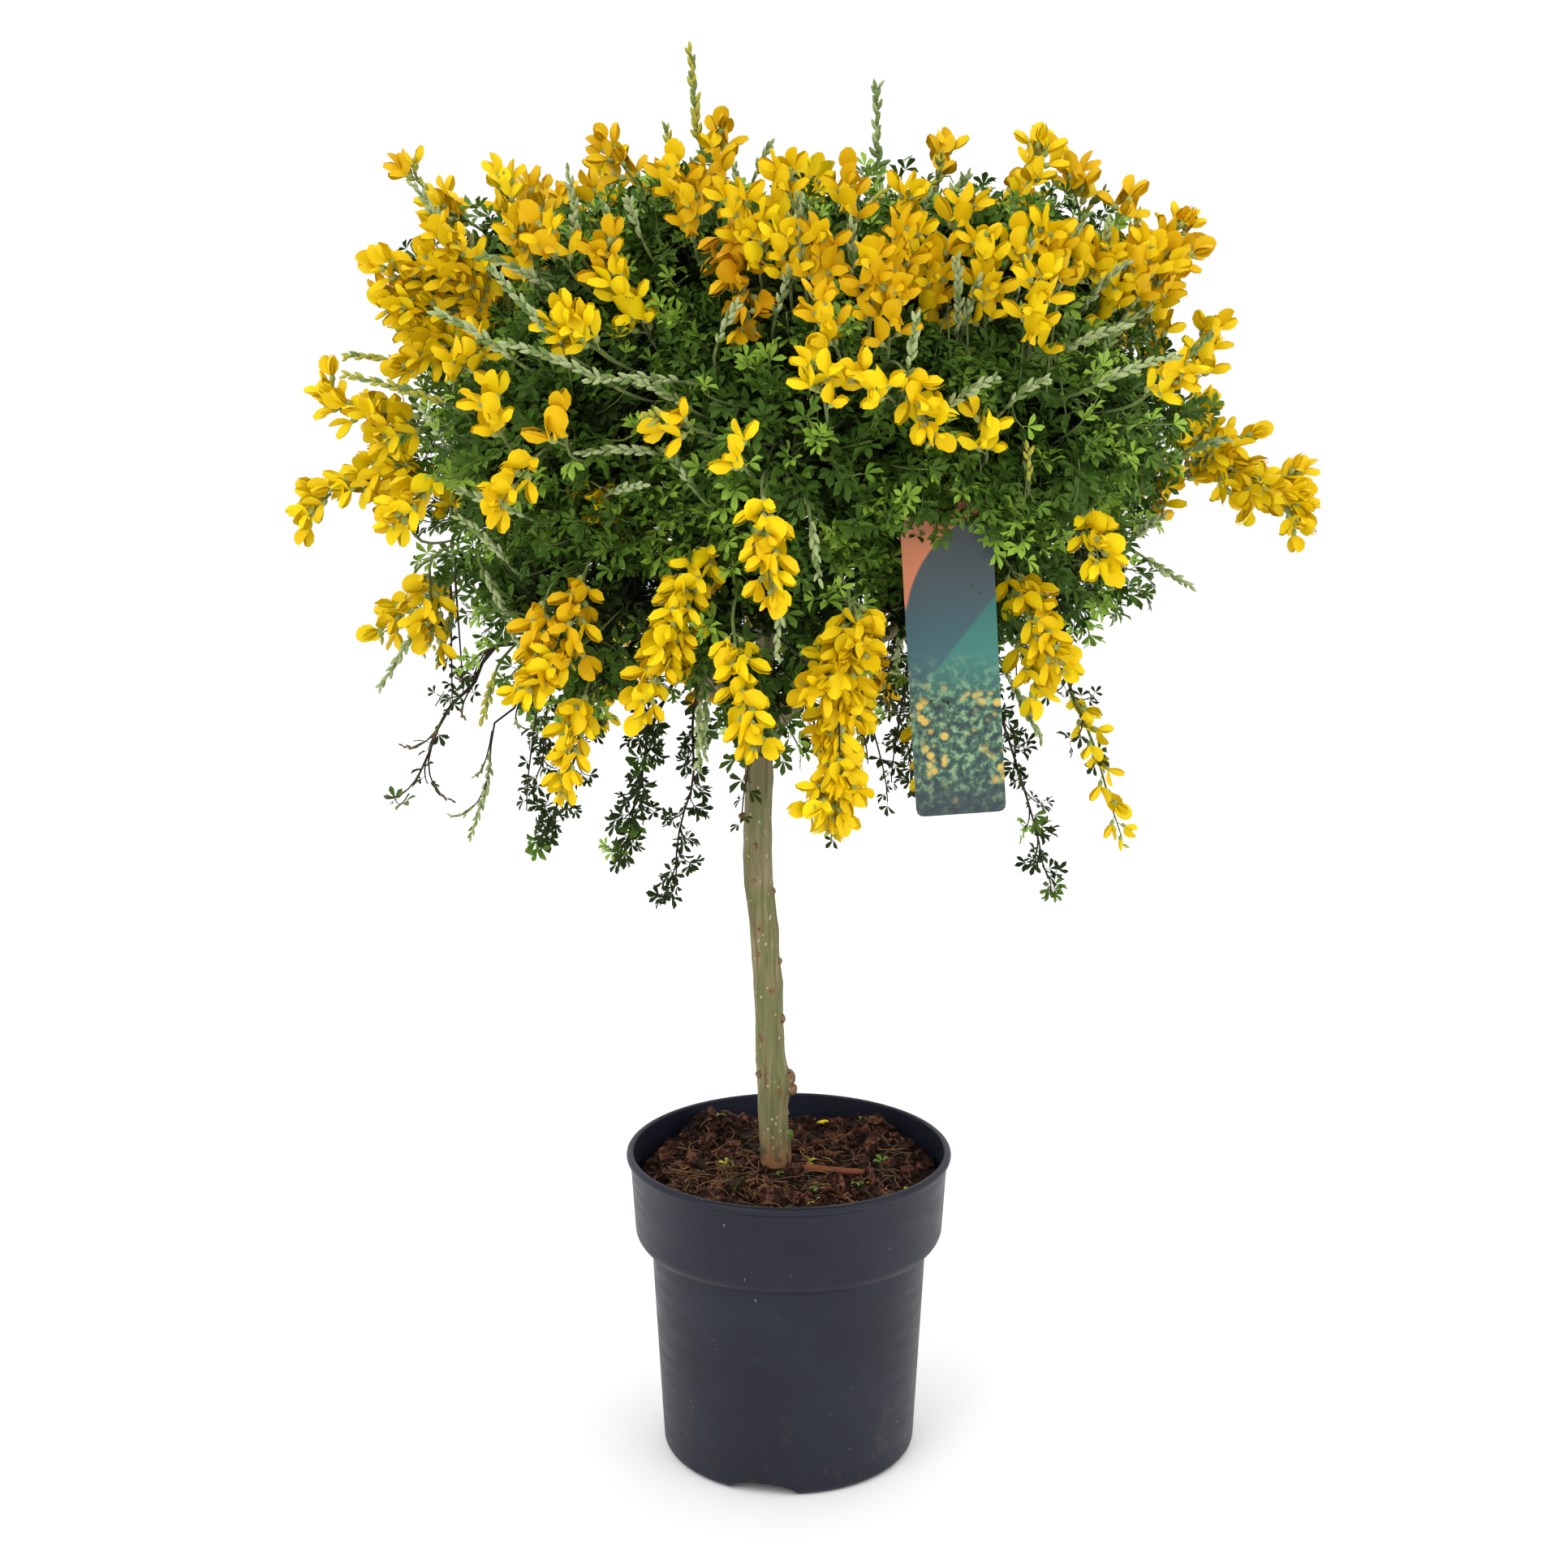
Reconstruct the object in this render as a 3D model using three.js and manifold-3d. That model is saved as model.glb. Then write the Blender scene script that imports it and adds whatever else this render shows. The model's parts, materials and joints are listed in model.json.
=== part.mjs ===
// A yellow-flowering broom trained as a standard, in the nursery pot it is sold in.
// Millimetres, +Z up. The origin is the centre of the pot's flat underside, and -Y is the front,
// the side on which the care label hangs.
import * as THREE from "three";
import { mergeVertices } from "three/addons/utils/BufferGeometryUtils.js";
import Module from "manifold-3d";

// ---------------------------------------------------------------- driving dimensions

const GAP = 0.35; // clearance between neighbouring bodies
const CLEAR = 0.8; // clearance of the compost inside the pot's wall

const POT = {
  height: 183,
  rim: 95, // outer radius of the rolled lip
  collar: 92.6, // outer radius of the stacking collar, just under the lip
  collarFoot: 90.2, // and at its lower edge
  collarDrop: 46, // from the rim down to the collar's lower edge
  shelf: 10, // height over which the collar's rounded underside comes in to the body
  body: 81, // outer radius of the body where it leaves the collar
  foot: 74.6, // outer radius where the body turns into the rounded foot
  base: 71, // outer radius of the flat standing ring
  footRound: 5,
  wall: 2,
  lip: 5,
  floorRise: 3.5, // how far the floor stands above the ground between ring and pad
  pad: 22, // radius of the flat pad in the middle of the underside
  ring: 61, // inner radius of the flat standing ring
  step: 1.5, // how far the sloping edges of pad and ring reach sideways
  sides: 32,
};
const NOTCH = { count: 3, width: 41, height: 7.5, depth: 30, first: -102 }; // drain notches round the foot
const DRAIN = { count: 6, radius: 5, circle: 40 }; // holes through the raised floor

// Heights of the compost at the wall, on its shoulder and in the level middle, and the middle's radius.
const SOIL = { edge: 158, shoulder: 163, brow: 169, top: 172, flat: 20 };

const TRUNK = {
  foot: SOIL.top + GAP, // the flat cut, level with the compost
  fork: 434,
  girth: 8, // radius half way up
  flare: 3.2, // what the root flare adds at the compost
  flareReach: 9, // height over which the flare dies away
  knuckle: 2.2, // how far the trunk swells just under the fork
  knuckleReach: 0.05, // and over what share of its length
  knotReach: 9, // height over which a knot dies away
  sides: 10,
  steps: 18,
};
// Places on the trunk's centre line: sideways drift at each height.
const TRUNK_LINE = [
  [162, -6.8],
  [200, -9.2],
  [240, -10.4],
  [290, -12.8],
  [338, -16.6],
  [385, -17.4],
  [434, -17.0],
];
// Swellings left by side shoots that were pruned away: height, direction, how far they stand out.
const KNOTS = [
  [221, 0, 5.0],
  [243, 200, 1.4],
  [283, 20, 1.6],
  [318, 350, 1.8],
  [347, 190, 1.5],
  [366, 170, 2.2],
  [402, 330, 1.5],
];

const FORK = new THREE.Vector3(-17, 0, TRUNK.fork);
const BOUGH = { base: 4.6, tip: 2.4, sides: 6, steps: 5, room: 1.08, sunk: 10, bend: 0.45 };

const LABEL = {
  width: 45,
  length: 152,
  strap: 14, // width of the strap above the shoulders
  strapLength: 52,
  shoulder: 12, // how far below the card's top its side starts to round over
  throat: 6, // how far above it the shoulder meets the strap
  thick: 0.8,
  corner: 4,
  foot: new THREE.Vector3(86, -152, 417), // middle of the lower edge
  lean: 3.8, // degrees, turned in its own plane
};

// ---------------------------------------------------------------- the plant's masses

const TUFT = { under: 0.88, waves: 4 }; // tufts are a little flatter below; waves that uneven each one
// A spray's sides, where along it the taper starts, how it closes at its ends and how uneven it is.
const SPRAY = { sides: 6, full: 0.3, ends: 0.55, uneven: 0.22 };
const SPACE = 2; // room left round the trunk and the label

// Rounded tufts of leaves and flowers: centre, half sizes, and how uneven each one is.
const TUFTS = [
  { name: "heart_tuft", at: [2, 5, 590], half: [72, 74, 66], lumps: 0.06 },

  { name: "low_front_tuft", at: [-12, -128, 500], half: [56, 48, 70], lumps: 0.12 },
  { name: "low_front_left_tuft", at: [-108, -92, 502], half: [62, 58, 66], lumps: 0.14 },
  { name: "low_left_tuft", at: [-163, 8, 516], half: [53, 60, 54], lumps: 0.15 },
  { name: "low_back_left_tuft", at: [-104, 108, 506], half: [58, 58, 62], lumps: 0.14 },
  { name: "low_back_tuft", at: [2, 140, 500], half: [60, 52, 64], lumps: 0.13 },
  { name: "low_back_right_tuft", at: [112, 98, 506], half: [60, 58, 62], lumps: 0.14 },
  { name: "low_right_tuft", at: [158, 0, 522], half: [55, 60, 58], lumps: 0.13 },
  { name: "low_front_right_tuft", at: [82, -92, 512], half: [58, 50, 62], lumps: 0.12 },

  { name: "middle_front_tuft", at: [8, -158, 606], half: [72, 58, 58], lumps: 0.1 },
  { name: "middle_front_left_tuft", at: [-112, -112, 604], half: [70, 66, 60], lumps: 0.12 },
  { name: "middle_left_tuft", at: [-160, 6, 606], half: [62, 70, 56], lumps: 0.13 },
  { name: "middle_back_left_tuft", at: [-110, 124, 604], half: [70, 68, 60], lumps: 0.12 },
  { name: "middle_back_tuft", at: [6, 164, 606], half: [72, 58, 58], lumps: 0.12 },
  { name: "middle_back_right_tuft", at: [122, 116, 604], half: [70, 66, 60], lumps: 0.12 },
  { name: "middle_right_tuft", at: [172, 0, 602], half: [62, 70, 58], lumps: 0.12 },
  { name: "middle_front_right_tuft", at: [120, -114, 602], half: [68, 64, 58], lumps: 0.12 },

  { name: "upper_front_tuft", at: [14, -96, 672], half: [66, 62, 52], lumps: 0.12 },
  { name: "upper_front_left_tuft", at: [-84, -78, 676], half: [62, 60, 50], lumps: 0.13 },
  { name: "upper_left_tuft", at: [-156, -8, 668], half: [54, 60, 54], lumps: 0.15 },
  { name: "upper_back_left_tuft", at: [-92, 88, 678], half: [66, 62, 52], lumps: 0.13 },
  { name: "upper_back_tuft", at: [8, 112, 676], half: [66, 60, 52], lumps: 0.12 },
  { name: "upper_back_right_tuft", at: [104, 78, 674], half: [62, 62, 52], lumps: 0.13 },
  { name: "upper_right_tuft", at: [156, -6, 664], half: [56, 62, 54], lumps: 0.15 },
  { name: "upper_front_right_tuft", at: [98, -70, 676], half: [58, 56, 52], lumps: 0.13 },

  { name: "top_left_tuft", at: [-44, 4, 700], half: [58, 62, 44], lumps: 0.14 },
  { name: "top_right_tuft", at: [52, 8, 696], half: [58, 60, 44], lumps: 0.14 },
];

// Long flower spikes and leafy strands that stand or hang out of the tufts: the line each follows,
// its radius where it leaves the tuft and the radius of its tip.
const SPRAYS = [
  { name: "top_spike", line: [[-46, 0, 736], [-49, 0, 768], [-51, 0, 797]], girth: [12, 4] },
  { name: "second_spike", line: [[44, 0, 730], [46, 0, 754], [46, 0, 779]], girth: [10, 3] },
  { name: "right_top_spray", line: [[112, -20, 712], [128, -20, 733], [137, -20, 755]], girth: [20, 9] },
  {
    name: "far_upper_left_spray",
    line: [[-180, 0, 712], [-196, 0, 728], [-208, 0, 742]],
    girth: [17, 7],
  },
  {
    name: "far_upper_right_spray",
    line: [[184, 0, 692], [202, 0, 694], [214, 0, 692]],
    girth: [27, 14],
  },
  { name: "left_bud_spray", line: [[-196, 0, 636], [-220, 0, 638], [-241, 0, 640]], girth: [13, 4] },
  { name: "left_upper_arm", line: [[-196, 0, 600], [-228, 0, 604], [-258, 0, 614]], girth: [17, 7] },
  { name: "left_lower_arm", line: [[-186, -20, 574], [-232, -16, 572], [-277, -10, 560]], girth: [19, 4] },
  { name: "right_arm", line: [[210, 0, 584], [256, 0, 567], [301, 0, 553]], girth: [31, 12] },
  {
    name: "right_hanging_strand",
    line: [[140, -60, 500], [158, -62, 450], [170, -56, 412], [182, -50, 378]],
    girth: [20, 7],
  },
  {
    name: "front_hanging_strand",
    line: [[22, -162, 540], [26, -166, 480], [22, -164, 430], [20, -160, 390]],
    girth: [22, 7],
  },
  {
    name: "left_bare_fan",
    line: [[-150, 4, 486], [-184, 2, 452], [-204, 0, 420], [-212, 0, 392]],
    girth: [26, 8],
  },
  { name: "left_bud_strand", line: [[-140, 10, 462], [-166, 6, 418], [-179, 0, 368]], girth: [20, 6] },
  {
    name: "left_leaf_strand",
    line: [[-108, -60, 448], [-120, -48, 416], [-131, -40, 380]],
    girth: [20, 9],
  },
  {
    name: "front_left_strand",
    line: [[-72, -100, 452], [-78, -104, 422], [-84, -106, 392]],
    girth: [17, 8],
  },
  { name: "back_hanging_strand", line: [[-50, 78, 452], [-62, 66, 390], [-66, 60, 322]], girth: [18, 9] },
  { name: "right_leaf_strand", line: [[118, 50, 452], [138, 56, 390], [152, 60, 330]], girth: [17, 8] },
  {
    name: "back_left_strand",
    line: [[-136, 128, 466], [-150, 142, 424], [-154, 150, 378]],
    girth: [19, 7],
  },
  { name: "back_right_strand", line: [[60, 150, 450], [72, 164, 412], [78, 168, 366]], girth: [18, 7] },
];

// Where each main bough ends, inside the tuft it carries, and how far it bows upwards.
const BOUGHS = [
  { name: "leader_bough", tip: [-4, 6, 570], bow: 0, stout: 1.2 },
  { name: "front_bough", tip: [-14, -112, 520], bow: 16, stout: 1 },
  { name: "front_left_bough", tip: [-96, -82, 520], bow: 18, stout: 1 },
  { name: "left_bough", tip: [-142, 6, 520], bow: 20, stout: 1.1 },
  { name: "back_left_bough", tip: [-92, 92, 520], bow: 18, stout: 1 },
  { name: "back_bough", tip: [0, 122, 516], bow: 16, stout: 0.95 },
  { name: "back_right_bough", tip: [96, 84, 520], bow: 18, stout: 1 },
  { name: "right_bough", tip: [136, 0, 524], bow: 20, stout: 1.1 },
  { name: "front_right_bough", tip: [72, -78, 522], bow: 16, stout: 0.95 },
];

// ---------------------------------------------------------------- finishes

const finish = (color, roughness, metalness = 0) => ({ color, roughness, metalness });
const FINISH = {
  plastic: finish("#35363c", 0.5),
  compost: finish("#432f25", 0.95),
  bark: finish("#6e6c4a", 0.85),
  leaves: finish("#2f5a2a", 0.7),
  blossom: finish("#e6bd06", 0.6),
  label: finish("#3e5f6e", 0.4),
};

// ---------------------------------------------------------------- joining and cutting

const wasm = await Module();
wasm.setup();

// A closed geometry as a solid that can be joined and cut.
function solid(geometry) {
  const merged = mergeVertices(stripped(geometry.clone()), 1e-3);
  return new wasm.Manifold(
    new wasm.Mesh({
      numProp: 3,
      vertProperties: new Float32Array(merged.attributes.position.array),
      triVerts: new Uint32Array(merged.index.array),
    }),
  );
}

// The solid's faces as a geometry, with flat shading.
function geometryOf(body) {
  const { vertProperties, triVerts, numProp } = body.getMesh();
  const geometry = new THREE.BufferGeometry();
  const place = new Float32Array((vertProperties.length / numProp) * 3);
  for (let i = 0; i < place.length / 3; i++) {
    place.set(vertProperties.subarray(i * numProp, i * numProp + 3), i * 3);
  }
  geometry.setAttribute("position", new THREE.BufferAttribute(place, 3));
  geometry.setIndex(new THREE.BufferAttribute(new Uint32Array(triVerts), 1));
  const faceted = geometry.toNonIndexed();
  faceted.computeVertexNormals();
  return faceted;
}

// What is left of a body once its neighbours are cut away: the largest piece, which is the body itself,
// with the slivers dropped.
function clear(body, neighbours) {
  let left = body;
  for (const neighbour of neighbours) {
    left = left.subtract(neighbour);
  }
  const pieces = left.decompose();
  return pieces.reduce((best, piece) => (piece.volume() > best.volume() ? piece : best));
}

// ---------------------------------------------------------------- shapes

// A repeatable stream of numbers from 0 to 1.
function chance(seed) {
  let state = (seed * 2654435761) >>> 0 || 1;
  return () => {
    state = (state + 0x6d2b79f5) >>> 0;
    let t = state;
    t = Math.imul(t ^ (t >>> 15), t | 1);
    t ^= t + Math.imul(t ^ (t >>> 7), t | 61);
    return ((t ^ (t >>> 14)) >>> 0) / 4294967296;
  };
}

// A smooth wave over directions in space, between -1 and 1, different for every seed.
function lumpiness(seed) {
  const next = chance(seed);
  const waves = Array.from({ length: TUFT.waves }, () => ({
    along: new THREE.Vector3(next() - 0.5, next() - 0.5, next() - 0.5).normalize(),
    rate: 2.2 + 3.2 * next(),
    start: 2 * Math.PI * next(),
  }));
  return (n) => waves.reduce((sum, w) => sum + Math.sin(w.rate * w.along.dot(n) + w.start), 0) / TUFT.waves;
}

// An uneven, closed tuft: a round body whose surface swells and sinks, flatter below than above.
function tuftGeometry({ at, half, lumps }, seed, swell = 0) {
  const geometry = mergeVertices(stripped(new THREE.IcosahedronGeometry(1, 1)), 1e-4);
  const wave = lumpiness(seed);
  const place = geometry.attributes.position;
  const n = new THREE.Vector3();
  for (let i = 0; i < place.count; i++) {
    n.fromBufferAttribute(place, i).normalize();
    const size = 1 + 2 * lumps * wave(n);
    const under = n.z < 0 ? TUFT.under : 1;
    place.setXYZ(
      i,
      at[0] + n.x * (half[0] * size + swell),
      at[1] + n.y * (half[1] * size + swell),
      at[2] + n.z * (half[2] * size * under + swell),
    );
  }
  return geometry;
}

// The geometry with its places alone, so that corners that meet can be merged.
function stripped(geometry) {
  geometry.deleteAttribute("normal");
  geometry.deleteAttribute("uv");
  return geometry;
}

// A closed body round a curve: a ring of corners at each step, and a point in the middle of each end.
function limbGeometry(curve, steps, sides, radiusAt, swell = 0) {
  const frames = curve.computeFrenetFrames(steps, false);
  const corners = [];
  const faces = [];
  for (let i = 0; i <= steps; i++) {
    const t = i / steps;
    const middle = curve.getPointAt(t);
    const push = i === 0 ? -swell : i === steps ? swell : 0;
    middle.addScaledVector(frames.tangents[i], push);
    for (let j = 0; j < sides; j++) {
      const turn = (2 * Math.PI * j) / sides;
      const outward = frames.normals[i].clone().multiplyScalar(Math.cos(turn));
      outward.addScaledVector(frames.binormals[i], Math.sin(turn));
      corners.push(middle.clone().addScaledVector(outward, radiusAt(t, outward, middle) + swell));
    }
  }
  const first = corners.push(curve.getPointAt(0).addScaledVector(frames.tangents[0], -swell)) - 1;
  const last = corners.push(curve.getPointAt(1).addScaledVector(frames.tangents[steps], swell)) - 1;
  for (let j = 0; j < sides; j++) {
    const next = (j + 1) % sides;
    faces.push(first, next, j);
    faces.push(last, steps * sides + j, steps * sides + next);
    for (let i = 0; i < steps; i++) {
      const a = i * sides + j;
      const b = i * sides + next;
      faces.push(a, b, b + sides, a, b + sides, a + sides);
    }
  }
  const geometry = new THREE.BufferGeometry().setFromPoints(corners);
  geometry.setIndex(faces);
  return geometry;
}

const curveThrough = (points) => new THREE.CatmullRomCurve3(points.map((p) => new THREE.Vector3(...p)));

// A spray keeps its full girth for the first third, then tapers to its tip.
function sprayGeometry({ line, girth }, seed, swell = 0) {
  const wave = lumpiness(seed);
  const curve = curveThrough(line);
  const steps = 2 * line.length - 1;
  const radiusAt = (t, outward) => {
    const along = Math.max(0, (t - SPRAY.full) / (1 - SPRAY.full));
    const taper = THREE.MathUtils.lerp(girth[0], girth[1], along);
    const ends = t === 0 || t === 1 ? SPRAY.ends : 1;
    return taper * ends * (1 + SPRAY.uneven * wave(outward.clone().multiplyScalar(1 + t)));
  };
  return limbGeometry(curve, steps, SPRAY.sides, radiusAt, swell);
}

// The trunk tapers a little, flares at the compost, swells under the fork and at its knots.
function trunkGeometry(swell = 0) {
  const curve = curveThrough(TRUNK_LINE.map(([z, x]) => [x, 0, z]));
  const radiusAt = (t, outward, middle) => {
    const flare = TRUNK.flare * Math.exp(-Math.max(0, middle.z - TRUNK.foot) / TRUNK.flareReach);
    const knuckle = TRUNK.knuckle * Math.exp(-(((1 - t) / TRUNK.knuckleReach) ** 2));
    const thick = TRUNK.girth * (1.09 - 0.14 * t);
    const knots = KNOTS.reduce((sum, [z, degrees, out]) => {
      const facing = THREE.MathUtils.degToRad(degrees);
      const side = Math.max(0, outward.x * Math.cos(facing) + outward.y * Math.sin(facing));
      return sum + out * side ** 2 * Math.exp(-(((middle.z - z) / TRUNK.knotReach) ** 2));
    }, 0);
    return thick + knuckle + flare + knots;
  };
  return limbGeometry(curve, TRUNK.steps, TRUNK.sides, radiusAt, swell);
}

// The trunk ends in a level cut where it meets the compost.
function trunkSolid() {
  const below = new THREE.BoxGeometry(60, 60, 40).translate(0, 0, TRUNK.foot - 20);
  return clear(solid(trunkGeometry()), [solid(below)]);
}

// A bough rises steeply out of the fork, then bends over to its tuft, tapering all the way.
function boughGeometry({ tip, bow, stout }) {
  const end = new THREE.Vector3(...tip);
  const start = FORK.clone().add(new THREE.Vector3(0, 0, -BOUGH.sunk));
  const bend = start.clone().lerp(end, BOUGH.bend).add(new THREE.Vector3(0, 0, bow));
  const curve = new THREE.CatmullRomCurve3([start, bend, end]);
  const radiusAt = (t) => stout * THREE.MathUtils.lerp(BOUGH.base, BOUGH.tip, t);
  return limbGeometry(curve, BOUGH.steps, BOUGH.sides, radiusAt);
}

// A rounded edge about a centre, between two angles in degrees, as points of a lathe profile.
function arc(x, y, radius, from, to, steps) {
  return Array.from({ length: steps + 1 }, (_, i) => {
    const turn = THREE.MathUtils.degToRad(from + ((to - from) * i) / steps);
    return [x + radius * Math.cos(turn), y + radius * Math.sin(turn)];
  });
}

// A body of revolution about the Z axis through points given as radius and height.
function turned(points, sides = POT.sides) {
  const profile = points.map(([r, z]) => new THREE.Vector2(r, z));
  return new THREE.LatheGeometry(profile, sides).rotateX(Math.PI / 2);
}

// The inner face of the pot's wall from the rim down to the floor, as radius and height.
function innerWall() {
  const { height, collar, collarFoot, collarDrop, body, foot, footRound, floorRise, wall } = POT;
  const bodyTop = height - collarDrop - POT.shelf;
  return [
    [collar - wall, height],
    [collarFoot - wall, height - collarDrop],
    [body - wall, bodyTop - wall],
    [foot - wall, 2 * footRound],
    [foot - wall - footRound, floorRise + wall],
  ];
}

// How wide the pot is inside at a height.
function innerRadius(z) {
  const wall = innerWall();
  const i = Math.max(1, wall.findIndex(([, level]) => level <= z));
  const [[r1, z1], [r2, z2]] = [wall[i - 1], wall[i]];
  return THREE.MathUtils.lerp(r2, r1, (z - z2) / (z1 - z2));
}

function potSolid() {
  const { height, rim, collar, collarFoot, collarDrop, body, foot, base, wall, lip } = POT;
  const collarFloor = height - collarDrop;
  const bodyTop = collarFloor - POT.shelf;
  const under = collarFoot - body;
  const floorTop = POT.floorRise + wall;
  const shell = turned([
    [0, 0],
    [POT.pad, 0],
    [POT.pad + POT.step, POT.floorRise],
    [POT.ring - POT.step, POT.floorRise],
    [POT.ring, 0],
    [base, 0],
    ...arc(foot - POT.footRound, POT.footRound, POT.footRound, -50, 0, 2),
    [body, bodyTop],
    ...arc(body, collarFloor, under, -75, 0, 2),
    [collar, height - lip - 1],
    ...arc(rim - lip / 2, height - lip / 2, lip / 2, -60, 90, 3),
    ...innerWall(),
    [0, floorTop],
  ]);
  const notches = ring(NOTCH.count, NOTCH.first).map((turn) => {
    const arch = new THREE.CylinderGeometry(1, 1, NOTCH.depth, 10).scale(NOTCH.width / 2, 1, NOTCH.height);
    return solid(arch.translate(0, foot, 0).rotateZ(turn - Math.PI / 2));
  });
  const drains = ring(DRAIN.count, 0).map((turn) => {
    const hole = new THREE.CylinderGeometry(DRAIN.radius, DRAIN.radius, 4 * floorTop, 8);
    const { circle } = DRAIN;
    return solid(hole.rotateX(Math.PI / 2).translate(circle * Math.cos(turn), circle * Math.sin(turn), 0));
  });
  return clear(solid(shell), [...notches, ...drains]);
}

// Even turns round the pot, starting from an angle in degrees.
function ring(count, first) {
  return Array.from({ length: count }, (_, i) => THREE.MathUtils.degToRad(first + (360 * i) / count));
}

// The compost fills the pot to below its rim and is heaped up towards the trunk.
function compostSolid() {
  const wide = innerRadius(SOIL.edge) - CLEAR;
  const buried = innerWall().filter(([, z]) => z < SOIL.edge);
  const side = buried.reverse().map(([r, z]) => [r - CLEAR, z + GAP]);
  return solid(
    turned([
      [0, side[0][1]],
      ...side,
      [wide, SOIL.edge],
      [0.8 * wide, SOIL.shoulder],
      [0.5 * wide, SOIL.brow],
      [SOIL.flat, SOIL.top],
      [0, SOIL.top],
    ]),
  );
}

// The care label: a card with rounded corners whose shoulders narrow to a hanging strap.
function labelGeometry(swell = 0) {
  const { width, length, strap, strapLength, thick, corner } = LABEL;
  const half = width / 2 + swell;
  const neck = strap / 2 + swell;
  const side = length - LABEL.shoulder;
  const throat = length + LABEL.throat;
  const top = length + strapLength + swell;
  const outline = new THREE.Shape();
  outline.moveTo(-half + corner, -swell);
  outline.lineTo(half - corner, -swell);
  outline.quadraticCurveTo(half, -swell, half, corner);
  outline.lineTo(half, side);
  outline.quadraticCurveTo(half, length, neck, throat);
  outline.lineTo(neck, top);
  outline.lineTo(-neck, top);
  outline.lineTo(-neck, throat);
  outline.quadraticCurveTo(-half, length, -half, side);
  outline.lineTo(-half, corner);
  outline.quadraticCurveTo(-half, -swell, -half + corner, -swell);
  const depth = thick + 2 * swell;
  return new THREE.ExtrudeGeometry(outline, { depth, bevelEnabled: false, curveSegments: 3 })
    .translate(0, 0, -depth / 2)
    .rotateZ(THREE.MathUtils.degToRad(LABEL.lean))
    .rotateX(Math.PI / 2)
    .translate(LABEL.foot.x, LABEL.foot.y, LABEL.foot.z);
}

// ---------------------------------------------------------------- assembly

const part = new THREE.Group();

function place(name, body, look) {
  const mesh = new THREE.Mesh(geometryOf(body), new THREE.MeshStandardMaterial(look));
  mesh.name = name;
  part.add(mesh);
}

place("pot", potSolid(), FINISH.plastic);
place("potting_mix", compostSolid(), FINISH.compost);
place("trunk", trunkSolid(), FINISH.bark);
place("care_label", solid(labelGeometry()), FINISH.label);

// Each tuft and spray keeps clear of the trunk, the label and the masses placed before it.
const masses = [
  ...TUFTS.map((spec) => ({ ...spec, shape: tuftGeometry, look: FINISH.leaves })),
  ...SPRAYS.map((spec) => ({ ...spec, shape: sprayGeometry, look: FINISH.blossom })),
];
const placed = [solid(labelGeometry(SPACE))];
const stem = solid(trunkGeometry(SPACE));
masses.forEach((spec, index) => {
  place(spec.name, clear(solid(spec.shape(spec, index + 1)), [stem, ...placed]), spec.look);
  placed.push(solid(spec.shape(spec, index + 1, GAP)));
});

// The boughs start from the fork and end where they meet a mass.
const bark = solid(trunkGeometry(GAP));
const standing = [];
for (const spec of BOUGHS) {
  const limb = solid(boughGeometry(spec));
  place(spec.name, clear(limb, [bark, ...placed, ...standing]), FINISH.bark);
  standing.push(solid(boughGeometry({ ...spec, stout: spec.stout * BOUGH.room })));
}

export default part;
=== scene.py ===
"""A yellow-flowering broom trained as a standard, in the nursery pot it is sold in.

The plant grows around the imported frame: a bark-relief stem and boughs replace the plain limbs, and every
mass of the head is replaced by twigs, leaves, pea flowers and bud spikes, which a seeded branching rule
grows out from the boughs to the mass's own outline. Lengths are metres, unless a name ends in _mm.
"""

import json
import logging
from collections.abc import Callable, Iterator, Sequence
from contextlib import contextmanager
from dataclasses import dataclass, field
from enum import Enum
from math import cos, log, pi, radians, sin, tau

import bmesh
import bpy
import numpy as np
from mathutils import Matrix, Vector
from mathutils.bvhtree import BVHTree

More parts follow.
